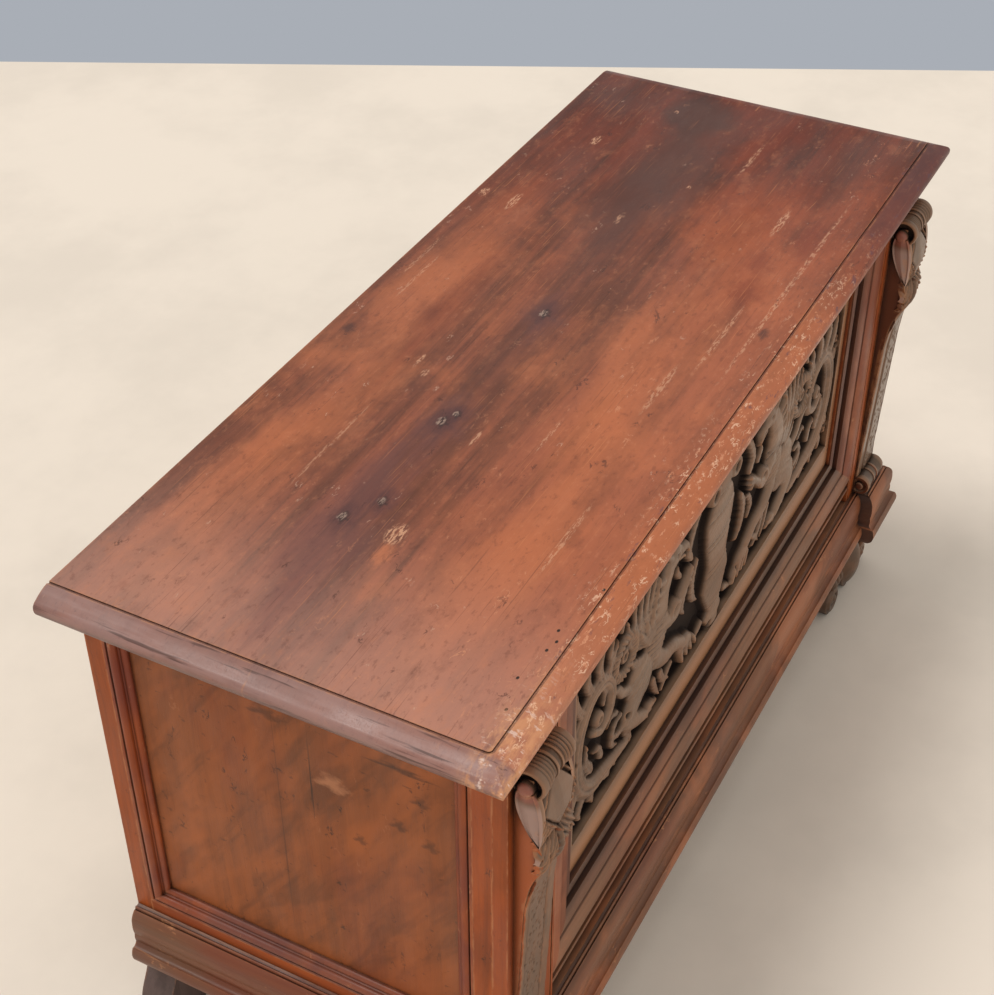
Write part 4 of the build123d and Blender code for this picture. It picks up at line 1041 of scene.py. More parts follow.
def carve_beast(r):
    """Griffin that faces the middle: haunch, ribbed belly, neck, head and four limbs."""
    r.blob(206, -30, 33, 38, -18, 16, 0.42, stripe=0.9, stripe_length=10)
    r.stroke(((208, -40), (232, -62), (216, -84), (192, -98)), (24, 19, 11, 8), 15.5, 0.45)
    r.blob(168, 4, 29, 47, 10, 16, 0.42, stripe=2.6, stripe_length=8)
    r.stroke(((168, 40), (163, 64), (150, 86)), (22, 17, 14), 16)
    for k in range(4):
        lock = ((176 - 3 * k, 44 + 13 * k), (188 - 3 * k, 50 + 13 * k), (190 - 4 * k, 64 + 12 * k))
        r.stroke(lock, (6, 5, 1.5), 16)
    r.blob(138, 92, 21, 15, -14, 16)
    r.stroke(((124, 92), (108, 88), (101, 74)), (8.5, 7, 1.5), 15.5)
    r.stroke(((124, 82), (112, 77), (108, 70)), (5, 4, 1), 14)
    r.stroke(((148, 100), (158, 110), (160, 118)), (6, 5, 1), 15)
    r.sink(135, 95, 4.2, 3.2, 0, 3)
    r.blob(135, 95, 2.2, 2.0, 0, 15)
    r.cut(((124, 86), (114, 83), (108, 80)), (1.3, 1.3), 4)
    for dx, dy in ((-14, -6), (-16, 3), (-6, -12), (-22, -2)):
        claw = ((190, -97), (190 + 0.6 * dx, -97 + 0.7 * dy), (190 + 1.4 * dx, -99 + 1.2 * dy))
        r.stroke(claw, (5, 4.5, 1.5), 14)
    r.stroke(((158, 14), (134, 0), (112, 14), (96, 28)), (13, 10, 8, 7), 15.5)
    r.ring(128, 8, 11, 4.5, 16)
    for dx, dy in ((-14, 10), (-16, 2), (-12, -8)):
        r.stroke(((96, 28), (96 + 0.6 * dx, 28 + 0.8 * dy), (96 + dx, 28 + dy)), (5, 4.5, 1.5), 15)
    r.stroke(((166, -34), (144, -52), (118, -58), (96, -72)), (15, 12, 10, 10), 15)
    r.blob(84, -84, 22, 14, 18, 15.5)
    for k in range(4):
        x = 98 - 12 * k
        r.stroke(((x, -86 - 2 * k), (x - 4, -98), (x - 6, -108)), (5.5, 5, 1.5), 15)
        if k:
            r.cut(((x + 6, -80 - 2 * k), (x + 3, -95)), (1.3, 1.3), 4)


def carve_leaves(r):
    """Leaves and tendrils that fill the ground between the figures."""
    veined = (
        (((84, 48), (92, 66), (80, 92), (62, 108)), (7, 9, 8, 1), 13, 0.3),
        (((112, 44), (120, 56), (118, 66)), (6, 6, 1), 12, 0.0),
        (((150, -70), (140, -90), (120, -104)), (8, 8, 1), 12, 0.3),
        (((168, -66), (160, -88), (146, -110)), (7, 7, 1), 12, 0.0),
        (((246, -66), (262, -64), (276, -50)), (7, 6, 1), 12, 0.0),
        (((240, -78), (226, -100), (232, -116)), (8, 7, 1), 12, 0.0),
        (((262, -28), (278, -22), (286, -34)), (6, 5, 1), 11, 0.0),
        (((64, 30), (74, 6), (70, -22), (54, -40)), (5, 9, 9, 1), 12.5, 0.35),
        (((92, -30), (100, -14), (92, 4), (78, 14)), (3, 8, 7, 1), 12, 0.3),
        (((118, -82), (132, -92), (148, -112)), (4, 7, 1), 12, 0.0),
        (((250, -40), (268, -44), (272, -68), (254, -82)), (4, 7, 7, 1), 11.5, 0.3),
        (((286, -104), (268, -106), (248, -114)), (5, 6, 1), 11.5, 0.0),
        (((262, 92), (256, 106), (240, 114)), (5, 6, 1), 12, 0.0),
        (((116, 112), (98, 104), (84, 112)), (5, 6, 1), 12, 0.0),
        (((196, -4), (222, 8), (236, 22)), (6, 8, 1), 12, 0.0),
        (((300, 20), (296, 40), (312, 50)), (4, 6, 1), 12, 0.0),
    )
    for points, widths, top, lobes in veined:
        r.stroke(points, widths, top, vein=2.2, lobes=lobes, lobe=11)


def carve_baluster(r):
    """Banded baluster in the middle, with two ringed curls over it."""
    heights = (-118, -104, -92, -80, -50, -16, 20, 52, 76, 88, 100, 110, 118)
    halves = (18, 26, 18, 24, 38, 27, 36, 40, 30, 20, 26, 18, 8)
    half = np.interp(r.V, heights, halves)
    share = np.clip(r.U / half, 0, 1)
    h = 14.5 * (0.55 + 0.45 * np.sqrt(1 - share**2))
    for band in (58, 22, 13, -22, -31, -84, 86):
        h = h - 2.0 * np.exp(-((r.V - band + 2 * share**2) / 1.6) ** 2)
    r.put(h, r.U < half)
    r.ring(30, 98, 10, 5, 15)
    r.sink(30, 98, 4, 4, 0, 4)
    r.stroke(((0, 96), (0, 118)), (12, 3), 15, vein=2)
    r.stroke(((34, -96), (48, -104), (58, -116)), (7, 6, 1), 12, vein=2)


def drill_holes(r):
    """Drilled holes left by the carver along the border and between the leaves."""
    for k in range(6):
        r.sink(372 - 9 * k, -112 + 2.5 * k * k % 7, 3.4, 3.4, 0, 12)
        r.sink(370, -80 + 26 * k, 3.0, 3.6, 0, 12)
    for k in range(38):
        r.sink(14 + 9.4 * k, -114 + 3.1 * (k * k % 5) / 4, 2.6 + 0.5 * (k % 3), 6.5, 24 * (-1) ** k, 12)
    for x, y in ((262, -100), (240, -52), (96, 50), (104, -26), (274, 40), (222, 24), (60, 66)):
        r.sink(x, y, 3.2, 3.2, 0, 12)


def build_carved_panel(material):
    """Panel with its sunk field, as one closed mesh: relief in front, flat behind."""
    low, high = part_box("front_panel")
    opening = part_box("front_moulding_bottom")[1].z
    depth = carving().depth
    border = carving().border
    face_y, back_y = low.y, high.y
    plate_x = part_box("front_stile_right")[0].x
    plate = (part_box("front_bottom_rail")[1].z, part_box("front_top_rail")[0].z)
    plate_low, plate_high = min(plate[0], opening), plate[1]
    half = plate_x - carving().side_border
    bottom, top = plate_low + border, plate_high - carving().side_border
    middle = (bottom + top) / 2
    stretch = half / (RELIEF_HALF * MM), (top - bottom) / (2 * RELIEF_RISE * MM)
    r = Relief(RELIEF_HALF, -RELIEF_RISE, RELIEF_RISE, carving().pitch / MM)
    carve_leaves(r)
    carve_scroll(r)
    carve_tail(r)
    carve_wing(r)
    carve_beast(r)
    carve_baluster(r)
    drill_holes(r)
    r.tool_marks(0.22)
    r.H = np.minimum(r.H, 15.6)
    r.soften()
    xs = np.concatenate([-r.u[:0:-1], r.u]) * MM * stretch[0]
    zs = r.v * MM * stretch[1] + middle
    heights = np.hstack([r.H[:, :0:-1], r.H]) * MM * (depth / (15 * MM))
    X, Z = np.meshgrid(xs, zs)
    Y = face_y + depth - heights
    rows, columns = X.shape
    points = np.dstack([X, Y, Z]).reshape(-1, 3)
    quads, loop = grid_faces(rows, columns)
    faces = quads.tolist()
    start = len(points)
    rim = points[loop].copy()
    rim[:, 1] = face_y
    points = np.vstack([points, rim])
    count = len(loop)
    for i in range(count):
        j = (i + 1) % count
        faces.append([loop[j], loop[i], start + i, start + j])
    corner = len(points)
    outline = [(-plate_x, plate_low), (plate_x, plate_low), (plate_x, plate_high), (-plate_x, plate_high)]
    for y in (face_y, back_y):
        points = np.vstack([points, [(x, y, z) for x, z in outline]])
    sides = (columns - 1, rows - 1, columns - 1, rows - 1)
    first = 0
    for k, steps in enumerate(sides):
        edge = [start + (first + i) % count for i in range(steps + 1)]
        faces.append([corner + k, corner + (k + 1) % 4] + edge[::-1])
        first += steps
    for k in range(4):
        n = (k + 1) % 4
        faces.append([corner + n, corner + k, corner + 4 + k, corner + 4 + n])
    faces.append([corner + 4 + k for k in (3, 2, 1, 0)])
    make_object("carved_panel", points, faces, material, "front_panel", 50)


# ---- Turned and shaped shells ----

def around(segments):
    """Cosine and sine of each step round a ring."""
    angles = [2 * math.pi * i / segments for i in range(segments)]
    return [(math.cos(angle), math.sin(angle)) for angle in angles]


def ring_faces(rings, segments):
    """Walls between like rings of points, and the two ends."""
    faces = []
    for k in range(rings - 1):
        for i in range(segments):
            n = (i + 1) % segments
            a, b = k * segments, (k + 1) * segments
            faces.append((a + i, a + n, b + n, b + i))
    last = (rings - 1) * segments
    return faces + [tuple(range(segments))[::-1], tuple(last + i for i in range(segments))]


def grid_faces(rows, columns):
    """Index of a grid of points, its quads and the loop of points round it."""
    index = np.arange(rows * columns).reshape(rows, columns)
    quads = np.dstack([index[:-1, :-1], index[:-1, 1:], index[1:, 1:], index[1:, :-1]]).reshape(-1, 4)
    loop = np.concatenate([index[0, :-1], index[:-1, -1], index[-1, :0:-1], index[:0:-1, 0]])
    return quads, loop.tolist()


class Shells:
    """Closed shells gathered into one piece, in millimetres: across, forward and up."""

    def __init__(self):
        self.points = []
        self.faces = []

    def take(self, points, faces):
        """Adds one closed shell."""
        start = len(self.points)
        self.points.extend(points)
        self.faces.extend([tuple(start + i for i in face) for face in faces])

    def turned(self, centre, profile, segments=56):
        """A profile of (across, radius) turned about a line that runs across the piece."""
        forward, up = centre
        rings = [p for p in profile if p[1] > 0]
        points = []
        for across, radius in rings:
            for c, s in around(segments):
                points.append((across, forward + radius * c, up + radius * s))
        self.take(points, ring_faces(len(rings), segments))

    def sheet(self, front, back):
        """A grid of points, a grid behind it and the walls between their outer rows."""
        rows, columns = front.shape[:2]
        quads, loop = grid_faces(rows, columns)
        start = rows * columns
        faces = [tuple(q) for q in quads.tolist()]
        faces += [tuple(q) for q in (quads[:, ::-1] + start).tolist()]
        for i, n in zip(loop, loop[1:] + loop[:1]):
            faces.append((n, i, start + i, start + n))
        self.take([tuple(p) for p in np.vstack([front.reshape(-1, 3), back.reshape(-1, 3)])], faces)

    def prism(self, near, far):
        """Two like outlines and the walls between them."""
        count = len(near)
        faces = [tuple(range(count)), tuple(range(2 * count - 1, count - 1, -1))]
        for i in range(count):
            n = (i + 1) % count
            faces.append((i, count + i, count + n, n))
        self.take([*near, *far], faces)

    def tube(self, path, radii, segments=14):
        """A round bar along a path, closed at both ends."""
        path = np.array(path, float)
        radii = np.interp(np.linspace(0, 1, len(path)), np.linspace(0, 1, len(radii)), radii)
        points = []
        first = None
        for k, (centre, radius) in enumerate(zip(path, radii)):
            along = Vector(path[min(k + 1, len(path) - 1)] - path[max(k - 1, 0)]).normalized()
            first = along.orthogonal() if first is None else first - along * first.dot(along)
            first = first.normalized()
            second = along.cross(first)
            for c, s in around(segments):
                points.append(tuple(Vector(centre) + (first * c + second * s) * radius))
        self.take(points, ring_faces(len(path), segments))

    def ball(self, centre, radii, segments=24):
        """An ellipsoid."""
        points = []
        rings = segments // 2
        for k in range(1, rings):
            polar = math.pi * k / rings
            for c, s in around(segments):
                unit = (math.sin(polar) * c, math.sin(polar) * s, math.cos(polar))
                points.append(tuple(m + r * u for m, r, u in zip(centre, radii, unit)))
        self.take(points, ring_faces(rings - 1, segments))

    def slab(self, outline, near, far):
        """An outline of (across, up) carried from one depth to another."""
        self.prism([(x, near, z) for x, z in outline], [(x, far, z) for x, z in outline])

    def piece(self, name, side, middle, front, way, material, node):
        """The shells as one piece: across becomes X away from the middle, depth becomes Y or -Y."""
        points = [(side * (middle + a * MM), front + way * f * MM, u * MM) for a, f, u in self.points]
        piece = make_object(name, points, self.faces, material, node, 42)
        set_outward(piece.data)
        return piece


def set_outward(mesh):
    """Turns all faces of closed shells outwards."""
    b = bmesh.new()
    b.from_mesh(mesh)
    bmesh.ops.recalc_face_normals(b, faces=b.faces)
    b.to_mesh(mesh)
    b.free()


def remesh(piece, voxel):
    """Melts the shells of a piece into one skin and rounds it a little."""
    melt = piece.modifiers.new("Melt", "REMESH")
    melt.mode = "VOXEL"
    melt.voxel_size = voxel
    smooth = piece.modifiers.new("Round", "SMOOTH")
    smooth.iterations = 2
    smooth.factor = 0.5
    evaluated = piece.evaluated_get(bpy.context.evaluated_depsgraph_get())
    mesh = bpy.data.meshes.new_from_object(evaluated)
    piece.modifiers.clear()
    piece.data = mesh
    soften(piece, 60)


# ---- Consoles ----

# Height over the floor, and reach forward or half width there, in millimetres.
CONSOLE_PROFILE = (
    (192, 6), (245, 6), (345, 10), (445, 14), (466, 16.5), (482, 19), (500, 25), (512, 31), (524, 34),
    (536, 33), (549, 28.5), (560, 31), (573, 33.5), (586, 31), (602, 28), (616, 24), (632, 19),
)
CONSOLE_WIDTH = (
    (192, 32), (455, 32), (478, 28), (490, 26), (503, 30), (516, 35), (530, 36.5), (540, 35),
    (549, 32), (560, 35), (573, 38), (590, 37), (606, 35), (622, 33), (632, 31),
)
CONSOLE_WALL = 33.0           # half width of the body behind the leaf
CONSOLE_LEAF = 5.0            # thickness of the leaf and of the strip
CONSOLE_SPREAD = 1.05         # of the turned scrolls, across
CONSOLE_TRIM = {"left": 0.78, "right": 1.0}     # share of the width kept on the inner side
CONSOLE_SLOTS = (             # across, up, half width, half height and depth
    (11, 506, 2.6, 12, 9), (22, 522, 2.2, 9, 4), (18, 549, 8, 2.4, 5), (5, 494, 2.0, 9, 5),
    (25, 566, 2, 8, 4),
)


def bell(value, width):
    """One at nought, falling away softly over a width."""
    return np.exp(-((value / width) ** 2))


def console_surface(rng):
    """Front of a console as a grid of (across, forward, up), in millimetres from the floor."""
    z = np.linspace(632, 192, 430)[:, None]
    s = np.linspace(-1, 1, 63)[None, :]
    reach = np.interp(z, *zip(*CONSOLE_PROFILE))
    half = np.interp(z, *zip(*CONSOLE_WIDTH))
    leafy = np.clip((z - 486) / 16, 0, 1) * np.clip((630 - z) / 6, 0, 1)
    half = half + leafy * (1.1 * np.sin(z / 3.1) + 0.4 * np.sin(z / 1.4 + 1))
    half = half + (1 - leafy) * 0.5 * (np.sin(z / 7.0) + np.sin(z / 2.7) * np.sin(z / 11.0))
    a = s * half + 0 * z
    edge = np.abs(s)
    diamond = np.abs(a) / 30 + np.abs(z - 588) / 38
    outside = np.clip((diamond - 1.0) / 0.12, 0, 1)
    veins = 0.5 + 0.5 * np.cos(2 * np.pi * (z + 1.15 * np.abs(a)) / 9.5)
    h = -leafy * outside * 2.6 * veins * np.clip(np.abs(a) / 8, 0.15, 1)
    h = h + leafy * outside * 2.6 * bell(a, 3.0)
    h = h - leafy * outside * 1.8 * bell(np.abs(a) - 4.6, 1.2)
    h = h + leafy * (1 - outside) * (0.6 + 1.6 * np.clip(1 - diamond, 0, 1))
    h = h - leafy * 2.6 * bell(diamond - 1.04, 0.05)
    h = h + leafy * 2.2 * bell(diamond - 1.17, 0.05)
    h = h - leafy * 4.5 * np.clip((edge - 0.72) / 0.28, 0, 1) ** 2
    for across, up, wide, tall, deep in CONSOLE_SLOTS:
        for side in (-1, 1):
            h = h - deep * bell(np.hypot((a - side * across) / wide, (z - up) / tall), 1.0)
    strip = np.clip((478 - z) / 10, 0, 1)
    h = h - strip * 3.4 * bell(s + 0.42, 0.07)
    h = h - strip * 1.2 * (s < -0.42)
    h = h - strip * 1.4 * bell(s - 0.86, 0.03)
    h = h - strip * 1.6 * np.clip((edge - 0.93) / 0.07, 0, 1) ** 2
    for _ in range(carving().pits):
        up, across = rng.uniform(228, 470), rng.uniform(-10, 26)
        size, deep = rng.uniform(1.1, 2.0), rng.uniform(1.2, 2.6)
        near = np.hypot(a - across, (z - up) / rng.uniform(1.0, 1.5)) / size
        h = h - deep * np.exp(-near**2)
    return np.dstack([a, np.maximum(reach + h, 0.6), z + 0 * a])


def tongue_leaf():
    """Leaf that hangs from the eye of the scroll: grid of (across, forward, up) of its outer face."""
    t = np.linspace(0, 1, 46)[:, None]
    s = np.linspace(-1, 1, 25)[None, :]
    centre_f = 14 + 2 * t + 12 * t**2
    up = 622 - 69 * t
    half = 13.5 * np.clip(np.sin(np.pi * (0.16 + 0.84 * t**0.8)), 0.02, 1) ** 0.8
    out = 36.6 + 3.6 * (1 - np.abs(s)) ** 0.8 * np.clip(6 * (1 - t), 0, 1)
    out = out + 1.8 * bell(np.abs(s) - 0.86, 0.1)
    forward = centre_f + s * half
    return np.dstack([out + 0 * t, forward, up - 0.25 * s * half])


# Profiles of (across, radius) from the middle of a turned scroll to its end.
CUSHION = [(0, 14.6), (3, 14.8), (3.6, 16.4), (6.6, 16.4), (7.2, 14.6)]
CUSHION += [
    (7.2 + 19 * t, 14.6 + 3.2 * t + 0.7 * math.sin(8 * math.pi * t)) for t in np.linspace(0.03, 1, 26)
]
CUSHION += [
    (27.5, 18.0), (31.5, 18.0), (33.4, 17.2), (34, 15.6), (33.4, 14.2), (29.5, 12.8), (27, 11.8),
    (26.5, 10),
]
FOOT_SCROLL = [
    (0, 13.6), (4, 13.8), (4.6, 15), (8, 15), (8.6, 13.8), (22, 14.2), (23, 15), (29.6, 15), (31, 14),
    (31, 11), (29.4, 9.6), (29, 8),
]
BOSS = [(20, 8.6), (33.4, 8.6), (36, 7.8), (37.8, 6.2), (38.7, 4), (39, 1.6)]
EYE = [(20, 6), (31.6, 6), (32.6, 5), (33, 3), (33, 1)]


def both_ways(profile):
    """A profile of (across, radius) on the two sides of the middle."""
    return [(-CONSOLE_SPREAD * a, r) for a, r in profile[::-1]] + one_way(profile, 1)[1:]


def one_way(profile, end):
    """A profile of (across, radius) on one side of the middle."""
    return [(end * CONSOLE_SPREAD * a, r) for a, r in profile]


def build_console(label, side, material):
    """Scroll console: cushion scroll with eyes, leaf and lozenge, punched strip, foot scroll."""
    low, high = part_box(f"console_{label}")
    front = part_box(f"front_pilaster_{label}")[0].y
    middle = (abs(low.x) + abs(high.x)) / 2
    rng = np.random.default_rng(11 if side > 0 else 5)
    shells = Shells()
    surface = console_surface(rng)
    upper = np.clip((surface[:, :, 2] - 500) / 40, 0, 1) * (surface[:, :, 0] < 0)
    surface[:, :, 0] *= 1 - 0.5 * (1 - CONSOLE_TRIM[label]) * upper
    behind = surface.copy()
    behind[:, :, 1] = np.maximum(behind[:, :, 1] - CONSOLE_LEAF, 0.2)
    shells.sheet(surface, behind)
    rise = np.linspace(192.2, 622, 80)
    line = [(0, 192.2)] + [(f, z) for f, z in zip(np.interp(rise, *zip(*CONSOLE_PROFILE)) - 3.4, rise)]
    line.append((0, 622))
    walls = (-CONSOLE_WALL * CONSOLE_TRIM[label], CONSOLE_WALL)
    shells.prism(*[[(a, f, z) for f, z in line] for a in walls])
    inner = CONSOLE_TRIM[label]
    shells.turned((14.4, 627.0), [(a * (inner if a < 0 else 1.0), r) for a, r in both_ways(CUSHION)])
    shells.turned((8.5, 207), both_ways(FOOT_SCROLL))
    for end in (-1, 1):
        reach = CONSOLE_TRIM[label] if end < 0 else 1.0
        shells.turned((12.6, 623), [(a * reach, r) for a, r in one_way(BOSS, end)], 40)
        shells.turned((8.5, 207), one_way(EYE, end), 32)
        leaf = tongue_leaf()
        leaf[:, :, 0] *= end * reach
        behind = leaf.copy()
        behind[:, :, 0] = end * reach * 30.0
        shells.sheet(leaf, behind)
    shells.piece(f"console_carving_{label}", side, middle, front, -1, material, f"console_{label}")


# ---- Front feet ----

def round_outline(centre, halves, steps):
    """An oval of (across, up)."""
    return [(centre[0] + halves[0] * c, centre[1] + halves[1] * s) for c, s in around(steps)]


def spiral(centre, outer, inner, turns, start, forward, way):
    """Points of a spiral on the front of a scroll, in millimetres."""
    points = []
    for t in np.linspace(0, 1, 70):
        radius = outer + (inner - outer) * t**0.85
        angle = start + way * 2 * math.pi * turns * t
        points.append((centre[0] + radius * math.cos(angle), forward, centre[1] + radius * math.sin(angle)))
    return points


FOOT_SETBACK = 7 * MM         # of the carving behind the front of the plinth block


def build_front_foot(label, side, material):
    """Carved foot: a fluted lobe between two scrolls that curl away from it."""
    low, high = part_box(f"front_foot_{label}")
    inner, outer = sorted((abs(low.x), abs(high.x)))
    front = low.y + FOOT_SETBACK
    depth = (high.y - front) / MM
    top = high.z / MM
    shells = Shells()
    width = (outer - inner) / MM
    cap = (
        (1, top), (0, top - 7), (22, top - 22), (width - 22, top - 26), (width - 1, top - 13), (width, top),
    )
    shells.slab(cap, 1, depth)
    lobe = 111.0
    shells.ball((lobe, 0.42 * depth, 47), (33, 0.62 * depth, 46), 32)
    shells.slab(round_outline((lobe, 44), (30, 43), 39), 5, depth)
    for k in range(-2, 3):
        path = []
        for t in np.linspace(-1.25, 1.2, 24):
            across = lobe + k * 10.5 * math.cos(0.9 * t) ** 0.7
            inward = 2.2 + abs(k) * 2.4 + 10 * (t / 1.3) ** 4
            path.append((across, inward, 48 + 40 * math.sin(t)))
        shells.tube(path, (2.0, 5.0, 5.6, 3.0))
    scrolls = ((43.0, 27.0, 1, 0.35), (169.0, 22.0, -1, math.pi - 0.35))
    for x, radius, way, start in scrolls:
        centre = (x, radius - 1)
        rim = [(px, max(pz, 0.0)) for px, pz in round_outline(centre, (radius, radius), 47)]
        shells.slab(rim, 6, depth)
        shells.tube(spiral(centre, radius - 4, 5, 1.6, start + math.pi / 2, 6.5, way), (5.0, 4.2, 3.0))
        shells.ball((x, 6, radius - 1), (6.5, 6, 6.5), 20)
        stem = [(0, radius), (6, 0.55 * top), (2, top - 10)]
        shells.tube([(x + way * a, 0.5 * depth, z) for a, z in stem], (14, 17, 19), 24)
        for k in range(3):
            leaf = [(16 - 9 * k, 8, radius + 16), (10 - 12 * k, 3.5, radius + 36), (2 - 15 * k, 6, top - 8)]
            shells.tube([(x + way * a, inward, z) for a, inward, z in leaf], (5, 6, 3))
    name = f"front_foot_carving_{label}"
    piece = shells.piece(name, side, inner, front, 1, material, f"front_foot_{label}")
    remesh(piece, 1.35 * MM)


# ---- Operators ----

class CASSONE_OT_woods(bpy.types.Operator):
    """Give every CAD piece of wood and iron its finish"""

    bl_idname = "cassone.woods"
    bl_label = "Finish the Woods"

    def execute(self, context):
        w = woods()
        dress(lid_finish(), *[f"lid_board_{part}" for part in ("front", "middle", "rear")])
        upright = frame_finish("frame_upright", "z")
        dress(upright, *both("end_front_stile", "end_rear_stile", "front_pilaster", "front_stile"))
        dress(frame_finish("frame_across", "y"), *both("end_bottom_rail", "end_top_rail"))
        dress(end_panel_finish(), *both("end_panel"))
        dress(moulding_finish("end_moulding_walnut", "z", w.frame, 0.9), *both("end_moulding"))
        end_tone = [c * 0.9 for c in w.plinth]
        dress(moulding_finish("plinth_side_walnut", "y", end_tone, 0.5), *both("plinth"))
        self.finish_front(w)
        dress(plain_finish("rear_foot_walnut", w.grey, "z"), *both("rear_foot"))
        poplar = plain_finish("poplar", w.poplar, "x")
        dress(poplar, *[f"back_board_{part}" for part in ("bottom", "middle", "top")])
        dress(poplar, *[f"bottom_board_{part}" for part in ("front", "middle", "rear")])
        dress(poplar, "bottom_cleats", "glue_blocks")
        dress(plain_finish("poplar_upright", w.poplar, "z"), "back_cleats")
        dress(plain_finish("poplar_batten", w.poplar, "y"), *both("lid_batten"))
        ease_edges(0.8 * MM, "front_fascia_bottom")
        ease_edges(0.8 * MM, *both("front_pilaster", "end_front_stile", "end_rear_stile"))
        iron = [name for name in frame["nodes"] if name.startswith("hinge_")]
        dress(iron_finish(), "back_nails", "lid_batten_screws", *iron)
        return {"FINISHED"}

    def finish_front(self, w):
        """Mouldings of the front, darkened with dirt and painted shade between the face of the pilasters and
        the panel.
        """
        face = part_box("front_pilaster_left")[0].y
        # Dirt and painted shade from 3 to 10 mm behind the face of the pilasters.
        deep = (face + 3 * MM, face + 10 * MM, 0.6)
        reeds = moulding_finish("front_moulding_walnut", "x", w.moulding, 0.3, deep, bright=0.3)
        for part in ("front_moulding", "front_fascia"):
            dress(reeds, f"{part}_bottom", f"{part}_top")
        dress(reeds, "front_bottom_rail", "front_top_rail")
        upright = moulding_finish(
            "front_moulding_upright", "z", w.reeds, 0.6, deep, grey=0.12, bright=0.4,
        )
        dress(upright, *both("front_moulding"))
        # Dirt and painted shade on the plinth shelf, 1 to 6 mm in front of the pilasters.
        shelf_dirt_and_shade = (face - 6 * MM, face - 1 * MM, 0.6)
        plinth = moulding_finish(
            "plinth_walnut", "x", w.plinth, 0.3, shelf_dirt_and_shade, grey=0.3, bright=0.5, shaded_returns=True,
        )
        dress(plinth, "plinth_front", *both("plinth_block"))


class CASSONE_OT_carved_panel(bpy.types.Operator):
    """Carve the relief of the front panel"""

    bl_idname = "cassone.carved_panel"
    bl_label = "Carve the Front Panel"

    def execute(self, context):
        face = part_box("front_panel")[0].y
        # Depths behind the face of the panel that get painted shade on the sunk ground.
        deep = (face + 2 * MM, face + 11 * MM, 0.95)
        build_carved_panel(carved_finish("carved_panel_walnut", "x", woods().carved, 0.4, deep))
        return {"FINISHED"}


class CASSONE_OT_consoles(bpy.types.Operator):
    """Carve the two scroll consoles"""

    bl_idname = "cassone.consoles"
    bl_label = "Carve the Consoles"

    def execute(self, context):
        tone = [c * 0.86 for c in woods().carved]
        material = carved_finish("console_walnut", "z", tone, 0.3, wall=console_walls)
        for label, side in SIDES:
            build_console(label, side, material)
        return {"FINISHED"}


class CASSONE_OT_front_feet(bpy.types.Operator):
    """Carve the two front feet"""

    bl_idname = "cassone.front_feet"
    bl_label = "Carve the Front Feet"

    def execute(self, context):
        tone = [c * 0.66 for c in woods().carved]
        material = carved_finish("front_foot_walnut", "x", tone, 0.15)
        for label, side in SIDES:
            build_front_foot(label, side, material)
        return {"FINISHED"}


class CASSONE_OT_stage(bpy.types.Operator):
    """Set up the floor, the light and the camera"""

    bl_idname = "cassone.stage"
    bl_label = "Set the Stage"

    def execute(self, context):
        build_floor()
        build_world()
        build_lights()
        build_camera()
        context.scene.view_settings.view_transform = "Standard"
        return {"FINISHED"}


FLOOR_REACH = 9.0
FLOOR_EDGE = 2.165            # from the middle of the chest to the far edge of the floor
FLOOR_SKEW = 0.24             # by which that edge runs aslant at either end
SUN_WAY = (0.72, -1.05, -3.0)


def build_floor():
    """Pale floor that ends in a straight line behind the chest."""
    s = stage()
    away = Vector((math.sin(s.heading), math.cos(s.heading), 0))
    across = Vector((away.y, -away.x, 0))
    far, near = away * FLOOR_EDGE, away * -FLOOR_REACH
    aside = across * FLOOR_REACH - away * FLOOR_SKEW
    corners = [near - across * FLOOR_REACH, near + across * FLOOR_REACH, far + aside, far - aside]
    mesh = bpy.data.meshes.new("floor")
    mesh.from_pydata([tuple(c) for c in corners], [], [(0, 1, 2, 3)])
    floor = bpy.data.objects.new("floor", mesh)
    bpy.context.scene.collection.objects.link(floor)
    material = bpy.data.materials.new("floor_pale")
    material.use_nodes = True
    g = Graph(material.node_tree)
    g.tree.nodes.clear()
    here = g.add("TexCoord").outputs["Object"]
    cloud = g.span(g.noise(g.scaled(here, (2.2, 2.2, 2.2)), 5, 0.62), 0.38, 0.66)
    tone = g.mix(g.times(cloud, 0.5), linear(s.floor), shade(s.floor, 0.92))
    shader = g.add("BsdfPrincipled", {"Base Color": tone, "Roughness": 0.75})
    g.feed(g.add("OutputMaterial").inputs["Surface"], shader.outputs[0])
    mesh.materials.append(material)


def build_world():
    """Even pale light all round; the backdrop colour is what the camera sees past the floor."""
    world = bpy.data.worlds.new("studio")
    bpy.context.scene.world = world
    world.use_nodes = True
    g = Graph(world.node_tree)
    g.tree.nodes.clear()
    seen = g.add("LightPath").outputs
    backdrop = g.add("Background", {"Color": linear(stage().backdrop), "Strength": 1.0}).outputs[0]
    light = g.add("Background", {"Color": linear((1.0, 0.985, 0.96)), "Strength": 0.655}).outputs[0]
    share = g.math("MAXIMUM", seen["Is Camera Ray"], seen["Is Transmission Ray"])
    mixed = g.add("MixShader", {0: share, 1: light, 2: backdrop}).outputs[0]
    g.feed(g.add("OutputWorld").inputs["Surface"], mixed)


def area_light(name, place, target, size, watts, tint):
    """A soft square light that looks at a point."""
    lamp = bpy.data.lights.new(name, "AREA")
    lamp.shape = "SQUARE"
    lamp.size = size
    lamp.energy = watts
    lamp.color = tint
    holder = bpy.data.objects.new(name, lamp)
    holder.location = place
    holder.rotation_euler = (Vector(target) - Vector(place)).to_track_quat("-Z", "Y").to_euler()
    bpy.context.scene.collection.objects.link(holder)


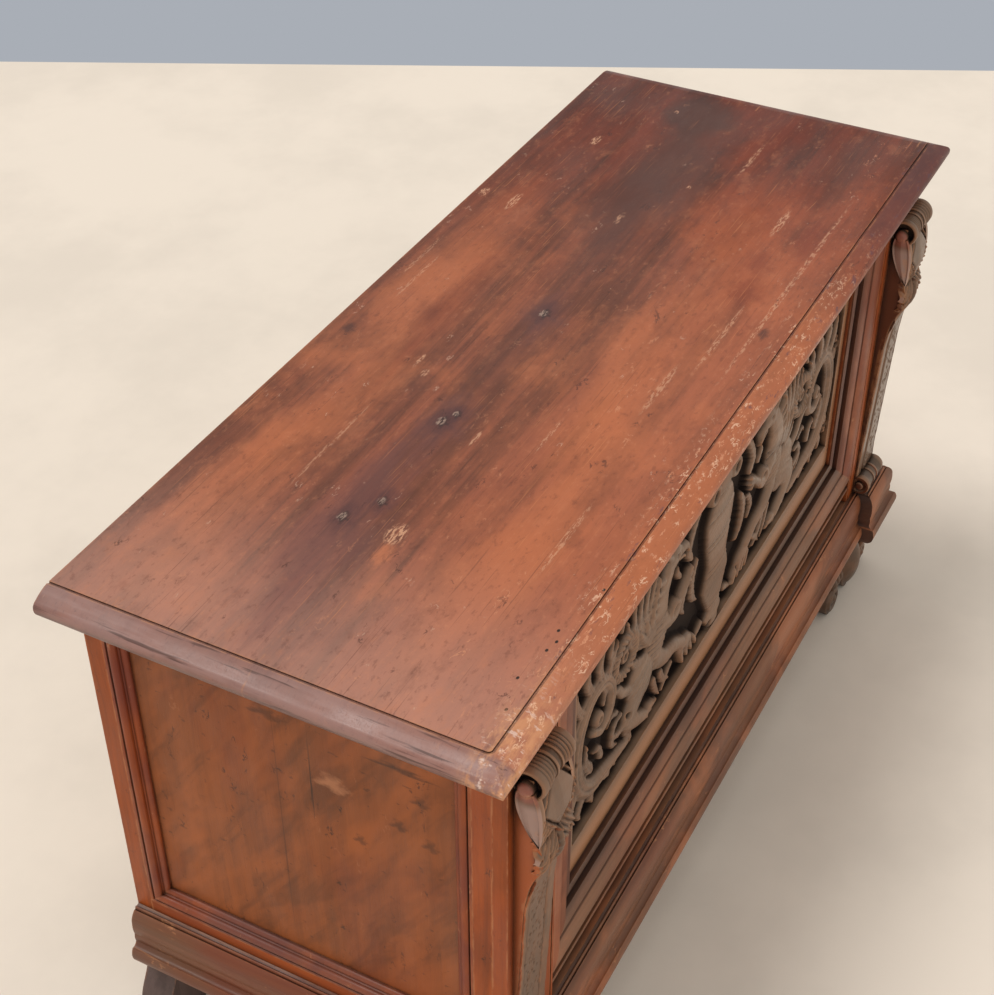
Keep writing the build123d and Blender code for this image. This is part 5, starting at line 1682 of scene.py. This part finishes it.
def build_lights():
    """A wide soft sun from the back left and a weak fill from the front."""
    lamp = bpy.data.lights.new("key", "SUN")
    lamp.energy = 1.22
    lamp.angle = math.radians(21)
    lamp.color = (1.0, 0.975, 0.94)
    key = bpy.data.objects.new("key", lamp)
    key.rotation_euler = Vector(SUN_WAY).to_track_quat("-Z", "Y").to_euler()
    bpy.context.scene.collection.objects.link(key)
    area_light("fill", (-2.6, -2.2, 2.2), (0, 0, 0.4), 2.4, 9, (1.0, 0.99, 0.97))


def build_camera():
    """Camera from above the near left end."""
    s = stage()
    lens = bpy.data.cameras.new("camera")
    lens.lens = s.lens
    lens.sensor_fit = "HORIZONTAL"
    lens.sensor_width = 36
    camera = bpy.data.objects.new("camera", lens)
    camera.location = s.camera
    turned = Matrix.Rotation(-s.heading, 3, "Z") @ Matrix.Rotation(s.tilt, 3, "X")
    camera.rotation_euler = (turned @ Matrix.Rotation(s.roll, 3, "Z")).to_euler()
    bpy.context.scene.collection.objects.link(camera)
    bpy.context.scene.camera = camera


class CASSONE_PT_panel(bpy.types.Panel):
    """Steps of the chest's finish"""

    bl_idname = "CASSONE_PT_panel"
    bl_label = "Cassone"
    bl_space_type = "VIEW_3D"
    bl_region_type = "UI"
    bl_category = "Cassone"

    def draw(self, context):
        for step in STEPS:
            self.layout.operator(step.bl_idname)
        for group in (woods(), carving(), stage()):
            column = self.layout.column()
            for name in group.__annotations__:
                column.prop(group, name)


STEPS = (
    CASSONE_OT_woods, CASSONE_OT_carved_panel, CASSONE_OT_consoles, CASSONE_OT_front_feet,
    CASSONE_OT_stage,
)
SETTINGS = (CassoneWoods, CassoneCarving, CassoneStage)


def register():
    for cls in (*SETTINGS, *STEPS, CASSONE_PT_panel):
        bpy.utils.register_class(cls)
    bpy.types.Scene.cassone_woods = PointerProperty(type=CassoneWoods)
    bpy.types.Scene.cassone_carving = PointerProperty(type=CassoneCarving)
    bpy.types.Scene.cassone_stage = PointerProperty(type=CassoneStage)


def unregister():
    del bpy.types.Scene.cassone_woods
    del bpy.types.Scene.cassone_carving
    del bpy.types.Scene.cassone_stage
    for cls in reversed((*SETTINGS, *STEPS, CASSONE_PT_panel)):
        bpy.utils.unregister_class(cls)


def main():
    """Makes every piece."""
    register()
    build_groups()
    bpy.ops.cassone.woods()
    bpy.ops.cassone.carved_panel()
    bpy.ops.cassone.consoles()
    bpy.ops.cassone.front_feet()
    bpy.ops.cassone.stage()


if __name__ == "__main__":
    main()
